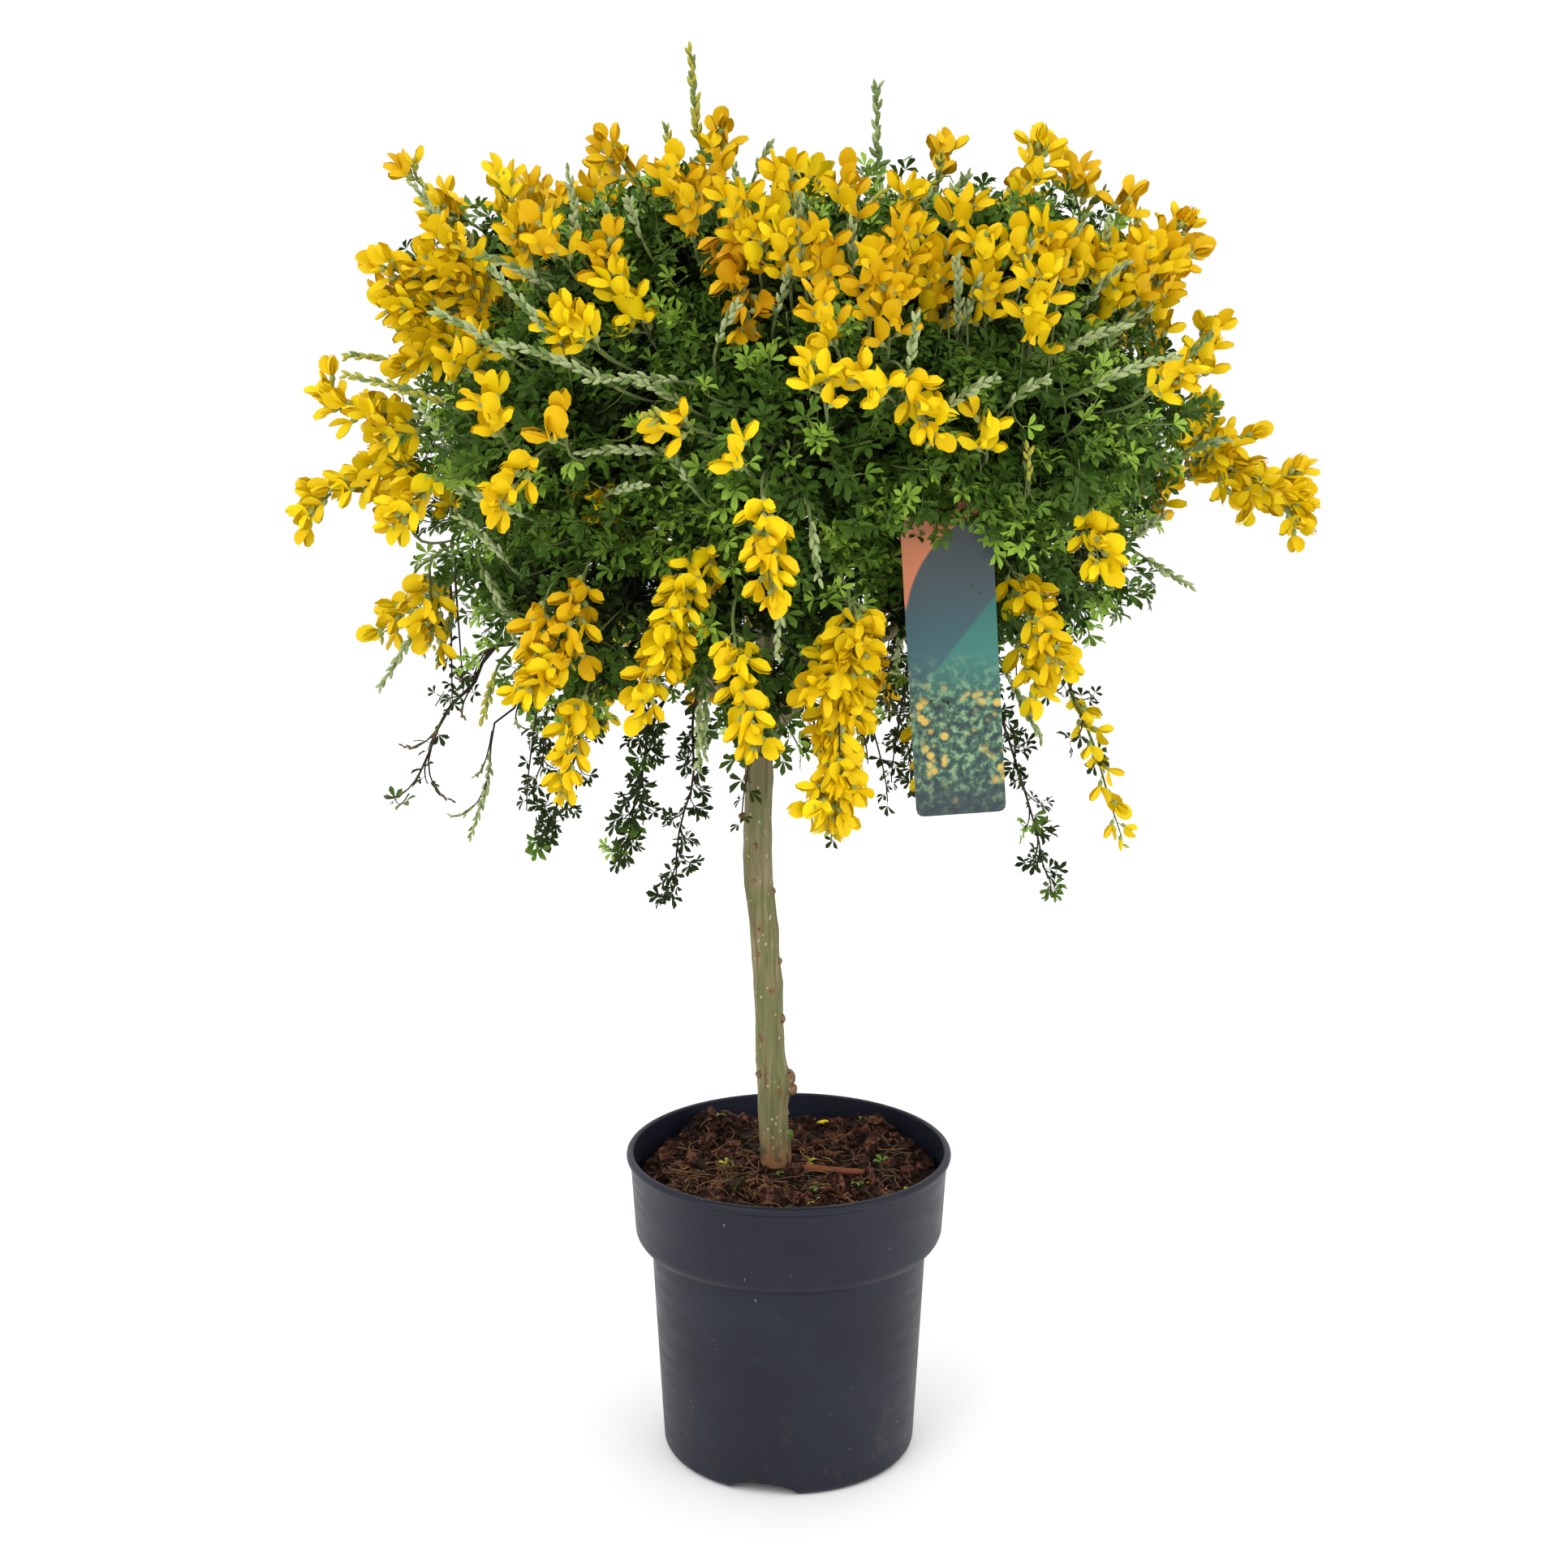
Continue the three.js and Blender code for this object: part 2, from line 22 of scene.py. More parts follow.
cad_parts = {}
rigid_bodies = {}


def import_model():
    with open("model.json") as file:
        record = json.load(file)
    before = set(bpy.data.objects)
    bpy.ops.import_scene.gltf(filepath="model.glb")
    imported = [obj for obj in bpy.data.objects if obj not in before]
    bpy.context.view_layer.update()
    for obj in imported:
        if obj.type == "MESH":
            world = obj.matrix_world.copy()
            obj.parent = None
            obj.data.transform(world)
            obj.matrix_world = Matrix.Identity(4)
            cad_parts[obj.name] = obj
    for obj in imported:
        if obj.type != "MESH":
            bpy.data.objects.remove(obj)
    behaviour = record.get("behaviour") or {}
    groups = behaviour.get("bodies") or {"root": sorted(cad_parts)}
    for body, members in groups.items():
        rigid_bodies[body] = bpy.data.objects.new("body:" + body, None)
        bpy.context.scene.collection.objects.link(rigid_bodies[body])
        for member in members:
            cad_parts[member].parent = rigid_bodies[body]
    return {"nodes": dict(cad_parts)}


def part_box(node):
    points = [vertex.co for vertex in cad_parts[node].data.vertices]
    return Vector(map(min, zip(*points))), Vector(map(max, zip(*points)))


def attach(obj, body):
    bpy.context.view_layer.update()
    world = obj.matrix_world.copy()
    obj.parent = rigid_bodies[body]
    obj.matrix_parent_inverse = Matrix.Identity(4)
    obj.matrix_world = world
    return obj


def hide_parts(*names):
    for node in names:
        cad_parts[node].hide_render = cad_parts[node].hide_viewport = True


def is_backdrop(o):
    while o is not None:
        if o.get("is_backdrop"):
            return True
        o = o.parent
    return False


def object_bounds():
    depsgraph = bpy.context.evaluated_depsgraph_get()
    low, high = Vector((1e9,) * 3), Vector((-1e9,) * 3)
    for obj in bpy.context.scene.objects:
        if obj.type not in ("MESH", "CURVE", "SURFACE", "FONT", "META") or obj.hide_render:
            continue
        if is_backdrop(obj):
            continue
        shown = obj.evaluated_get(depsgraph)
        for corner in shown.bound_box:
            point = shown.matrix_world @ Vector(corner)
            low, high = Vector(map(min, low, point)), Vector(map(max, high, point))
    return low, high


MM = 0.001
MOST_TRIANGLES = 180_000  # in one joined piece
GROWTH_SEED = 2
GOLDEN_TURN = radians(137.5)  # the turn from one leaf or flower to the next round a stem
UP = np.array([0.0, 0.0, 1.0])

LOG = logging.getLogger("broom")

ops = bpy.ops
Array = np.ndarray
Mesh = tuple[Array, Array]  # corners, then the triangles between them
Piece = bpy.types.Object
Rng = np.random.Generator


# ---- colours, nodes and finishes


def linear(colour: str) -> tuple[float, float, float, float]:
    """Turn an sRGB hex colour, such as "f4cc05", into the linear red, green, blue and alpha of a shader."""
    parts = [int(colour[i : i + 2], 16) / 255 for i in (0, 2, 4)]
    red, green, blue = (c / 12.92 if c <= 0.04045 else ((c + 0.055) / 1.055) ** 2.4 for c in parts)
    return red, green, blue, 1.0


class Paint:
    """A material in the making: its node tree and its Principled shader."""

    def __init__(self, name: str) -> None:
        """Start a material."""
        self.material = bpy.data.materials.new(name)
        self.material.use_nodes = True
        self.tree = self.material.node_tree
        self.shader = self.tree.nodes["Principled BSDF"]

    def feed(self, socket: bpy.types.NodeSocket, value) -> None:
        """Give a socket another node's output, a hex colour or a plain value."""
        if isinstance(value, bpy.types.NodeSocket):
            self.tree.links.new(value, socket)
        else:
            socket.default_value = linear(value) if isinstance(value, str) else value

    def put(self, sockets: dict) -> bpy.types.Material:
        """Feed the shader's own sockets, by name, and return the material."""
        for name, value in sockets.items():
            self.feed(self.shader.inputs[name], value)
        return self.material

    def add(self, kind: str, settings: dict) -> bpy.types.Node:
        """Add one shader node.

        Args:
            kind: the node's type, without the "ShaderNode" in front.
            settings: its sockets, by name or number, and its properties, with what each is given.

        Returns:
            The node.
        """
        node = self.tree.nodes.new("ShaderNode" + kind)
        for name, value in settings.items():
            if isinstance(name, int) or name in node.inputs:
                self.feed(node.inputs[name], value)
            else:
                setattr(node, name, value)
        return node

    def ramp(self, factor, stops: Sequence[tuple[float, str]]):
        """Add a colour ramp of hex colours and return its colour output."""
        node = self.add("ValToRGB", {"Fac": factor})
        band = node.color_ramp
        while len(band.elements) < len(stops):
            band.elements.new(0.5)
        for element, (place, colour) in zip(band.elements, stops):
            element.position = place
            element.color = linear(colour)
        return node.outputs["Color"]

    def stretched(self, *scale: float):
        """Add object coordinates squeezed by a scale along each axis and return the vector output."""
        place = self.add("TexCoord", {}).outputs["Object"]
        return self.add("Mapping", {"Scale": scale, "Vector": place}).outputs["Vector"] if scale else place

    def noise(self, place, grain_mm: float, detail: float = 4.0, rough: float = 0.55):
        """Add a noise whose blotches are about grain_mm across and return its value output."""
        settings = {"Scale": 1 / (grain_mm * MM), "Detail": detail, "Roughness": rough, "Vector": place}
        return self.add("TexNoise", settings).outputs["Fac"]

    def spots(self, place, apart_mm: float, low: float, high: float):
        """Add round spots apart_mm apart, whole within low and gone beyond high of that."""
        cells = self.add("TexVoronoi", {"Scale": 1 / (apart_mm * MM), "Vector": place})
        return self.scaled(cells.outputs["Distance"], low, high, 1.0, 0.0)

    def mixed(self, factor, first, second):
        """Mix two colours, each a hex string or an output, and return the colour output."""
        return self.add("Mix", {"data_type": "RGBA", 0: factor, 6: first, 7: second}).outputs[2]

    def scaled(self, value, low: float, high: float, to_low: float, to_high: float):
        """Map a value from one range to another, clamped, and return the output."""
        settings = {"From Min": low, "From Max": high, "To Min": to_low, "To Max": to_high, "Value": value}
        return self.add("MapRange", settings).outputs["Result"]

    def times(self, first, second):
        """Multiply two values and return the output."""
        return self.add("Math", {"operation": "MULTIPLY", 0: first, 1: second}).outputs[0]

    def bump(self, height, depth_mm: float, strength: float = 1.0, under=None):
        """Add a bump of a depth in millimetres and return its normal output."""
        settings = {"Distance": depth_mm * MM, "Strength": strength, "Height": height}
        return self.add("Bump", settings | ({"Normal": under} if under else {})).outputs["Normal"]


class Tissue(Enum):
    """The surfaces of the plant's small parts, each of one plain colour, dealt out spray by spray."""

    LEAF_IN_SHADE = ("26370f", 0.62)
    LEAF_DEEP_GREEN = ("3d5a1b", 0.58)
    LEAF_FULL_GREEN = ("567626", 0.56)
    LEAF_FRESH_TIP = ("8aac3e", 0.54)
    PETAL_LEMON = ("e8cb06", 0.6, 0.0, "blossom")
    PETAL_YELLOW = ("e2bf05", 0.6, 0.0, "blossom")
    PETAL_GOLD = ("d9ae04", 0.6, 0.0, "blossom")
    PETAL_OLD_AMBER = ("cf9c07", 0.62, 0.0, "blossom")
    BUD_SILVER_DOWN = ("9dab74", 0.75, 0.35)
    BUD_OLIVE = ("a8a338", 0.65, 0.2)
    BUD_GREEN = ("6d8342", 0.7, 0.3)
    CALYX_DOWNY_GREEN = ("96a156", 0.7, 0.3)
    TWIG_YOUNG_GREEN = ("66753c", 0.7, 0.15, "bark")
    TWIG_BROWN = ("4d4232", 0.8, 0.1, "bark")
    TWIG_DARK_BARE = ("33281d", 0.85, 0.1, "bark")
    DRY_BROWN_FLOWER = ("7a6145", 0.85, 0.2)
    DRY_ROOT_FIBRE = ("8a6544", 0.9, 0.0, "bark_compost")
    RED_BROWN_BARK_STICK = ("7a4630", 0.85, 0.0, "bark_compost")

    def __init__(self, colour: str, roughness: float, down: float = 0.0, slot: str = "foliage") -> None:
        """Take up a surface's finish.

        Args:
            colour: its sRGB colour.
            roughness: how matt it is.
            down: how much fine down whitens it where it is seen edge on.
            slot: the record's material slot.
        """
        self.colour, self.roughness, self.down, self.slot = colour, roughness, down, slot

    def material(self) -> bpy.types.Material:
        """Make the material, or find it if it was made before."""
        name = self.name.lower()
        return bpy.data.materials.get(name) or Paint(name).put({
            "Base Color": self.colour,
            "Roughness": self.roughness,
            "IOR": 1.42,  # a wet cell wall under a thin cuticle
            "Specular IOR Level": 0.2,
            "Sheen Weight": self.down,
            "Sheen Roughness": 0.4,
        })


class YoungBark:
    """Smooth young bark: olive-green skin with long brown fissures, pale pores and brown scars."""

    @staticmethod
    def material() -> bpy.types.Material:
        """Make the bark's material."""
        mix = Paint("young_olive_bark")
        # The skin's cells run along the stem, so each pattern is drawn out many times in height.
        patches = mix.noise(mix.stretched(1.0, 1.0, 0.3), 18, 3)
        skin = mix.ramp(patches, [
            (0.3, "6b5b3a"), (0.42, "7c7049"), (0.53, "666b3b"), (0.62, "7a724a"), (0.78, "918463"),
        ])
        fissures = mix.noise(mix.stretched(1.0, 1.0, 0.05), 2.6)
        barked = mix.mixed(mix.scaled(fissures, 0.52, 0.7, 0.0, 0.75), skin, "54452b")
        streaked = mix.mixed(mix.scaled(fissures, 0.3, 0.45, 0.6, 0.0), barked, "9b9270")
        # Pores are pale dots about 1 mm across and 4 mm apart.
        pores = mix.spots(mix.stretched(1, 1, 0.7), 4.2, 0.1, 0.2)
        dotted = mix.mixed(pores, streaked, "b9a983")
        scars = mix.scaled(mix.noise(mix.stretched(1, 1, 0.8), 11, 2), 0.66, 0.74, 0.0, 0.7)
        worn = mix.mixed(scars, dotted, "75502f")
        # Painted shade of the crown darkens and browns the bark from 70 mm below the fork upwards.
        height = mix.add("SeparateXYZ", {"Vector": mix.stretched()}).outputs["Z"]
        painted_crown_shade = mix.mixed(mix.scaled(height, 0.34, 0.44, 0.0, 0.45), worn, "4a3f28")
        # Soil splashed on the foot of the stem fades out 30 mm above the compost.
        splash = mix.ramp(mix.noise(mix.stretched(), 9, 3), [(0.42, "2e2119"), (0.52, "8a5c33")])
        return mix.put({
            "Base Color": mix.mixed(mix.scaled(height, 0.178, 0.196, 0.8, 0.0), painted_crown_shade, splash),
            "Roughness": mix.scaled(fissures, 0.3, 0.7, 0.6, 0.85),
            "Normal": mix.bump(pores, 0.3, 0.7, mix.bump(fissures, 0.6, 0.8)),
        })


class CallusWood:
    """Healed wood over a pruned shoot: rough, corky, brown with a paler lip."""

    @staticmethod
    def material() -> bpy.types.Material:
        """Make the scars' material."""
        mix = Paint("healed_callus_wood")
        grain = mix.noise(mix.stretched(), 1.6, 4, 0.6)
        colour = mix.ramp(grain, [(0.36, "4f3a26"), (0.5, "7a5b3d"), (0.64, "9a8058")])
        return mix.put({"Base Color": colour, "Roughness": 0.85, "Normal": mix.bump(grain, 0.6, 0.9)})


class MouldedPolypropylene:
    """Recycled polypropylene, injection moulded: dark slate, satin, with dust, scuffs and soil smears."""

    @staticmethod
    def material() -> bpy.types.Material:
        """Make the pot's material."""
        mix = Paint("moulded_slate_polypropylene")
        place = mix.stretched()
        cloud = mix.noise(place, 60, 3)
        wall = mix.ramp(cloud, [(0.35, "161823"), (0.65, "1d202d")])
        # Rubbing leaves faint pale streaks that run round the wall, a millimetre or so wide.
        streaks = mix.noise(mix.stretched(0.25, 0.25, 1.6), 9, 6, 0.7)
        rubbed = mix.mixed(mix.scaled(streaks, 0.58, 0.8, 0.0, 0.3), wall, "383c4c")
        # Dust and small scratches are flecks about 1 mm wide and 2 mm tall, in patches.
        specks = mix.scaled(mix.noise(mix.stretched(1, 1, 0.5), 2.2, 2), 0.735, 0.77, 0.0, 0.7)
        patchy = mix.scaled(mix.noise(place, 35, 2), 0.44, 0.56, 0.0, 1.0)
        dusty = mix.mixed(mix.times(specks, patchy), rubbed, "8d8d8c")
        # Soil clings in smears to the lowest third of the wall, and most of it on one side.
        split = mix.add("SeparateXYZ", {"Vector": place}).outputs
        low = mix.scaled(split["Z"], 0.0, 0.075, 1.0, 0.0)
        lowest = mix.times(low, mix.scaled(split["X"], -0.02, 0.07, 0.35, 1.0))
        smear = mix.scaled(mix.noise(mix.stretched(1, 1, 0.5), 12, 6, 0.7), 0.55, 0.72, 0.0, 0.6)
        return mix.put({
            "Base Color": mix.mixed(mix.times(lowest, smear), dusty, "5b4836"),
            "Roughness": mix.scaled(streaks, 0.3, 0.7, 0.38, 0.54),
            "IOR": 1.49,
            "Specular IOR Level": 0.25,
            "Normal": mix.bump(cloud, 0.6, 0.3, mix.bump(mix.noise(place, 1.2, 3), 0.09, 0.6)),
        })


class CompostedBark:
    """Composted bark, damp: crumbs from near black to red-brown, finely fibrous; the near black is painted
    shade between the crumbs.
    """

    @staticmethod
    def material(name: str, dark: str, light: str, grain_mm: float) -> bpy.types.Material:
        """Make a material from a dark and a light colour that vary in patches, and a crumb's size."""
        mix = Paint(name)
        crumbs = mix.noise(mix.stretched(), grain_mm, 5, 0.7)
        tone = mix.noise(mix.stretched(), 3.2 * grain_mm, 2)
        warm = mix.ramp(tone, [(0.35, dark), (0.65, light)])
        return mix.put({
            # The near black, where the crumb noise runs low and the bump sinks, is painted shade in the
            # hollows between crumbs.
            "Base Color": mix.mixed(mix.scaled(crumbs, 0.38, 0.62, 1.0, 0.0), warm, "140b08"),
            "Roughness": 0.85,
            "Specular IOR Level": 0.12,
            "Normal": mix.bump(crumbs, 0.5 * grain_mm, 0.9),
        })


class PrintedCard:
    """A printed and laminated plastic card: an orange field, a teal field and a soft meadow, unlettered."""

    @staticmethod
    def material(foot: Vector, head: Vector) -> bpy.types.Material:
        """Make the label's material, its print laid out between the corners of its box."""
        mix = Paint("printed_laminated_card")
        split = mix.add("SeparateXYZ", {"Vector": mix.stretched()}).outputs
        up = mix.scaled(split["Z"], foot.z, head.z, 0.0, 1.0)
        slate = mix.ramp(up, [(0.3, "38636a"), (0.45, "2c5059"), (0.56, "34454b"), (0.75, "343b3b")])
        teal = mix.ramp(up, [(0.3, "397a6e"), (0.55, "22605a")])
        # A slanting edge parts the slate field from the teal one.
        side = mix.scaled(split["X"], foot.x, head.x, 0.0, 1.0)
        slope = mix.add("Math", {"operation": "MULTIPLY_ADD", 0: side, 1: -0.34, 2: up}).outputs[0]
        sky = mix.mixed(mix.scaled(slope, 0.24, 0.25, 0.0, 1.0), teal, slate)
        # Soft leaves of 3 mm and flower spots of 5 mm fill the lower half of the card.
        flat = mix.stretched(1, 0, 1)
        meadow = mix.ramp(mix.noise(flat, 4, 4, 0.6), [(0.38, "1f3034"), (0.5, "2f5446"), (0.62, "7f9c74")])
        drifts = mix.scaled(mix.noise(flat, 20, 1), 0.5, 0.57, 0.0, 0.9)
        bright = mix.mixed(mix.times(mix.spots(flat, 5, 0.3, 0.5), drifts), meadow, "d2b04a")
        flecked = mix.mixed(mix.scaled(up, 0.02, 0.12, 0.85, 0.0), bright, "27313a")
        pictured = mix.mixed(mix.scaled(up, 0.27, 0.4, 1.0, 0.0), sky, flecked)
        # The orange field is the outside of a big circle whose rim sweeps across the card's head.
        centre = (foot.x + 0.062, 0.0, foot.z + 0.098)
        shifted = mix.add("VectorMath", {"operation": "SUBTRACT", 0: flat, 1: centre}).outputs["Vector"]
        away = mix.add("VectorMath", {"operation": "LENGTH", 0: shifted}).outputs["Value"]
        beyond = mix.scaled(away, 0.0585, 0.0595, 0.0, 1.0)
        orange = mix.times(beyond, mix.scaled(up, 0.5, 0.52, 0.0, 1.0))
        return mix.put({
            "Base Color": mix.mixed(orange, pictured, "c4744a"),
            "Roughness": 0.28,
            "IOR": 1.5,
            "Normal": mix.bump(mix.noise(mix.stretched(), 25, 2), 0.2, 0.4),
        })


# ---- small shapes, modelled once


def merged(meshes: Sequence[Mesh]) -> Mesh:
    """Put several meshes' corners and triangles together."""
    starts = np.cumsum([0] + [len(corners) for corners, _ in meshes[:-1]])
    faces = [triangles + start for (_, triangles), start in zip(meshes, starts)]
    return np.concatenate([corners for corners, _ in meshes]), np.concatenate(faces)


def copied(faces: Array, copies: int, corners: int) -> Array:
    """Return the triangles of so many copies of a mesh that has so many corners."""
    return (faces[None] + np.arange(copies)[:, None, None] * corners).reshape(-1, 3)


@dataclass
class Form:
    """A small shape that is modelled once and copied many times.

    Attributes:
        corners: the corners' places, a row of x, y and z each. It grows along +Y and faces +Z.
        faces: three corner numbers for each triangle.
    """

    corners: Array
    faces: Array

    @staticmethod
    def taken(scratch: Piece) -> "Form":
        """Read a modelled object as triangles, and remove it."""
        shape = bmesh.new()
        shape.from_mesh(scratch.data)
        bmesh.ops.triangulate(shape, faces=shape.faces[:])
        corners = np.array([v.co for v in shape.verts])
        faces = np.array([[v.index for v in f.verts] for f in shape.faces])
        shape.free()
        bpy.data.objects.remove(scratch)
        return Form(corners, faces)

    def moved(self, turn: Array, size: float = 1.0, by: Sequence[float] = (0, 0, 0)) -> "Form":
        """Return a copy, sized, turned and then moved."""
        return Form(size * self.corners @ turn.T + np.array(by), self.faces)

    def joined(self, *others: "Form") -> "Form":
        """Return one form made of this one and others."""
        return Form(*merged([(form.corners, form.faces) for form in (self, *others)]))


def rotation(axis: str, degrees: float) -> Array:
    """Return the matrix of a turn about one of the axes."""
    return np.array(Matrix.Rotation(radians(degrees), 3, axis))


@contextmanager
def editing() -> Iterator[None]:
    """Edit the active object's mesh, with all of it selected."""
    ops.object.mode_set(mode="EDIT")
    ops.mesh.select_all(action="SELECT")
    yield
    ops.object.mode_set(mode="OBJECT")


def alone(piece: Piece) -> None:
    """Select one object and nothing else."""
    ops.object.select_all(action="DESELECT")
    piece.select_set(True)
    bpy.context.view_layer.objects.active = piece


def coat(piece: Piece, finish: bpy.types.Material, smooth: bool = True) -> Piece:
    """Give a piece its one material and smooth or flat faces, and return it."""
    piece.data.materials.clear()
    piece.data.materials.append(finish)
    piece.data.polygons.foreach_set("use_smooth", np.full(len(piece.data.polygons), smooth))
    return piece


def blade(across: int, along: int, shape: Callable[[float, float], tuple[float, float, float]]) -> Form:
    """Model a thin blade: a grid whose corners are placed by how far across (-1 to 1) and along (0 to 1)."""
    ops.mesh.primitive_grid_add(x_subdivisions=across, y_subdivisions=along, size=2)
    scratch = bpy.context.object
    for corner in scratch.data.vertices:
        corner.co = shape(corner.co.x, (corner.co.y + 1) / 2)
    with editing():
        ops.mesh.remove_doubles(threshold=1e-6)
    return Form.taken(scratch)


def kernel(sides: int, rings: int, length: float, width: float, point: float, bend: float = 0.0) -> Form:
    """Model a closed bud or pod: a ball drawn out along +Y and drawn to a point at its tip.

    Args:
        sides: number of faces round it.
        rings: number of rings along it.
        length: its length.
        width: its greatest width.
        point: how strongly the tip is drawn in, from 0 to 1.
        bend: how far the tip nods towards -Z, as a part of the length.

    Returns:
        The bud, its foot at the origin.
    """
    ops.mesh.primitive_uv_sphere_add(segments=sides, ring_count=rings, radius=0.5)
    with editing():
        ops.transform.resize(value=(width, width, length), center_override=(0, 0, 0))
        ops.transform.translate(value=(0, 0, 0.5 * length))
    form = Form.taken(bpy.context.object)
    t = np.clip(form.corners[:, 2] / length, 0, 1)
    drawn = 1 - point * t**1.5
    corners = np.stack([form.corners[:, 0] * drawn, form.corners[:, 2], form.corners[:, 1] * drawn], axis=1)
    corners[:, 2] -= bend * length * t**2
    return Form(corners, form.faces[:, ::-1])


def stalk(length: float, thick: float) -> Form:
    """Model a leaf or flower stalk: a thin three-sided cone along +Y."""
    ops.mesh.primitive_cone_add(
        vertices=3, radius1=0.5 * thick, radius2=0.35 * thick, depth=length, end_fill_type="NOTHING",
        location=(0, 0.5 * length, 0), rotation=(-0.5 * pi, 0, 0),
    )
    ops.object.transform_apply(location=True, rotation=True)
    return Form.taken(bpy.context.object)


@dataclass(frozen=True)
class LeafKit:
    """The broom's leaf: three small folded leaflets on a short stalk."""

    leaflet: float = 10.8 * MM
    width: float = 4.4 * MM
    stalk: float = 4.0 * MM

    def leaflet_shape(self, fold: float) -> Form:
        """Model one leaflet, broadest beyond its middle, folded along its rib."""

        def place(s: float, t: float) -> tuple[float, float, float]:
            broad = 1.0 if 0.5 < t < 0.9 else 0.72
            x = 0.5 * self.width * broad * s if 0 < t < 0.99 else 0.0
            along = t + 0.09 * sin(pi * t)
            return x, self.leaflet * along, fold * abs(x) - 0.16 * self.leaflet * t * t

        return blade(2, 3, place)

    def leaf(self, fold: float, spread: float) -> Form:
        """Model a leaf, its leaflets folded so steeply and spread degrees apart, its foot at the origin."""
        leaflet = self.leaflet_shape(fold)
        hinge = (0, self.stalk, 0.6 * MM)
        tilted = rotation("X", 12)
        parts = [leaflet.moved(tilted, 1.05, hinge)]
        for side in (-1, 1):
            parts.append(leaflet.moved(rotation("Z", side * spread) @ tilted, 0.92, hinge))
        return stalk(self.stalk, 0.7 * MM).joined(*parts)

    def variants(self) -> list[Form]:
        """Model the leaves that are copied over the crown."""
        return [self.leaf(0.5, 58), self.leaf(0.85, 70), self.leaf(0.3, 50)]


@dataclass(frozen=True)
class FlowerKit:
    """The broom's pea flower: a notched standard, two wings and a keel in a downy calyx."""

    standard: float = 13.0 * MM
    slim: float = 0.38  # half the standard's width, as a share of its length
    wing: float = 11.5 * MM
    calyx: float = 5.0 * MM

    def standard_petal(self, rear: float) -> Form:
        """Model the broad upright petal, bent back by rear degrees at its claw."""

        def place(s: float, t: float) -> tuple[float, float, float]:
            ends = 0.22 if t == 0 else 0.52
            broad = 0.24 + 0.76 * sin(pi * t**0.9) ** 0.55 if 0 < t < 1 else ends
            x = self.slim * self.standard * broad * s
            rounding = max(0.0, t - 0.75) * 4 * (0.05 * (1 - abs(s)) + 0.12 * s * s)
            cup = 0.24 * abs(s) ** 1.6 * self.standard * sin(pi * min(t, 0.9))
            return x, self.standard * (t - rounding), cup + 0.1 * self.standard * t * t

        return blade(4, 4, place).moved(rotation("X", rear))

    def wing_petal(self, side: int) -> Form:
        """Model one of the two oblong wings, held along the keel."""

        def place(s: float, t: float) -> tuple[float, float, float]:
            broad = 0.3 + 0.7 * sin(pi * t**1.3) ** 0.7 if 0 < t < 1 else 0.25 + 0.25 * t
            across = 0.2 * self.wing * broad * s
            out = 0.16 * self.wing * sin(pi * t) * (1 - 0.4 * s)
            return side * (0.8 * MM + out), self.wing * t, across - 0.08 * self.wing * t * t

        form = blade(2, 3, place)
        return Form(form.corners, form.faces[:, ::-1] if side > 0 else form.faces)

    def keel(self) -> Form:
        """Model the keel between the wings."""
        return kernel(5, 4, 0.92 * self.wing, 3.2 * MM, 0.35, 0.06)

    def petals(self, rear: float, gape: float) -> Form:
        """Model one flower: its standard stands up by rear degrees, its wings and keel drop by gape."""
        drop = rotation("X", -gape)
        lower = self.keel().joined(self.wing_petal(-1), self.wing_petal(1)).moved(drop)
        return self.standard_petal(rear).joined(lower).moved(np.eye(3), 1, (0, 0.7 * self.calyx, 0))

    def cup(self) -> Form:
        """Model the calyx on its short stalk."""
        body = kernel(6, 4, self.calyx, 3.4 * MM, -0.1).moved(np.eye(3), 1, (0, -0.1 * self.calyx, 0))
        return body.joined(stalk(4 * MM, 0.9 * MM).moved(np.eye(3), 1, (0, -4 * MM, 0)))

    def variants(self) -> list[Form]:
        """Model open, opening and older flowers, then the closed yellow bud."""
        bud = kernel(6, 5, 10 * MM, 4.2 * MM, 0.4, 0.12).moved(np.eye(3), 1, (0, 2 * MM, 0))
        return [self.petals(50, 12), self.petals(34, 14), self.petals(68, 6), self.petals(17, 6), bud]

    def downy_bud(self) -> Form:
        """Model the bud that is packed along a spike before it opens."""
        return kernel(5, 4, 7 * MM, 3.3 * MM, 0.45, 0.1)


# ---- turning and joining copies


def unit(v: Array) -> Array:
    """Return vectors scaled to a length of 1."""
    return v / np.maximum(np.linalg.norm(v, axis=-1, keepdims=True), 1e-9)


def frames(along: Array, face: Array) -> Array:
    """Return one turning matrix a row, taking +Y to a heading and +Z as near as can be to the way to face."""
    y = unit(along)
    x = unit(np.cross(y, face))
    return np.stack([x, y, np.cross(x, y)], axis=-1)


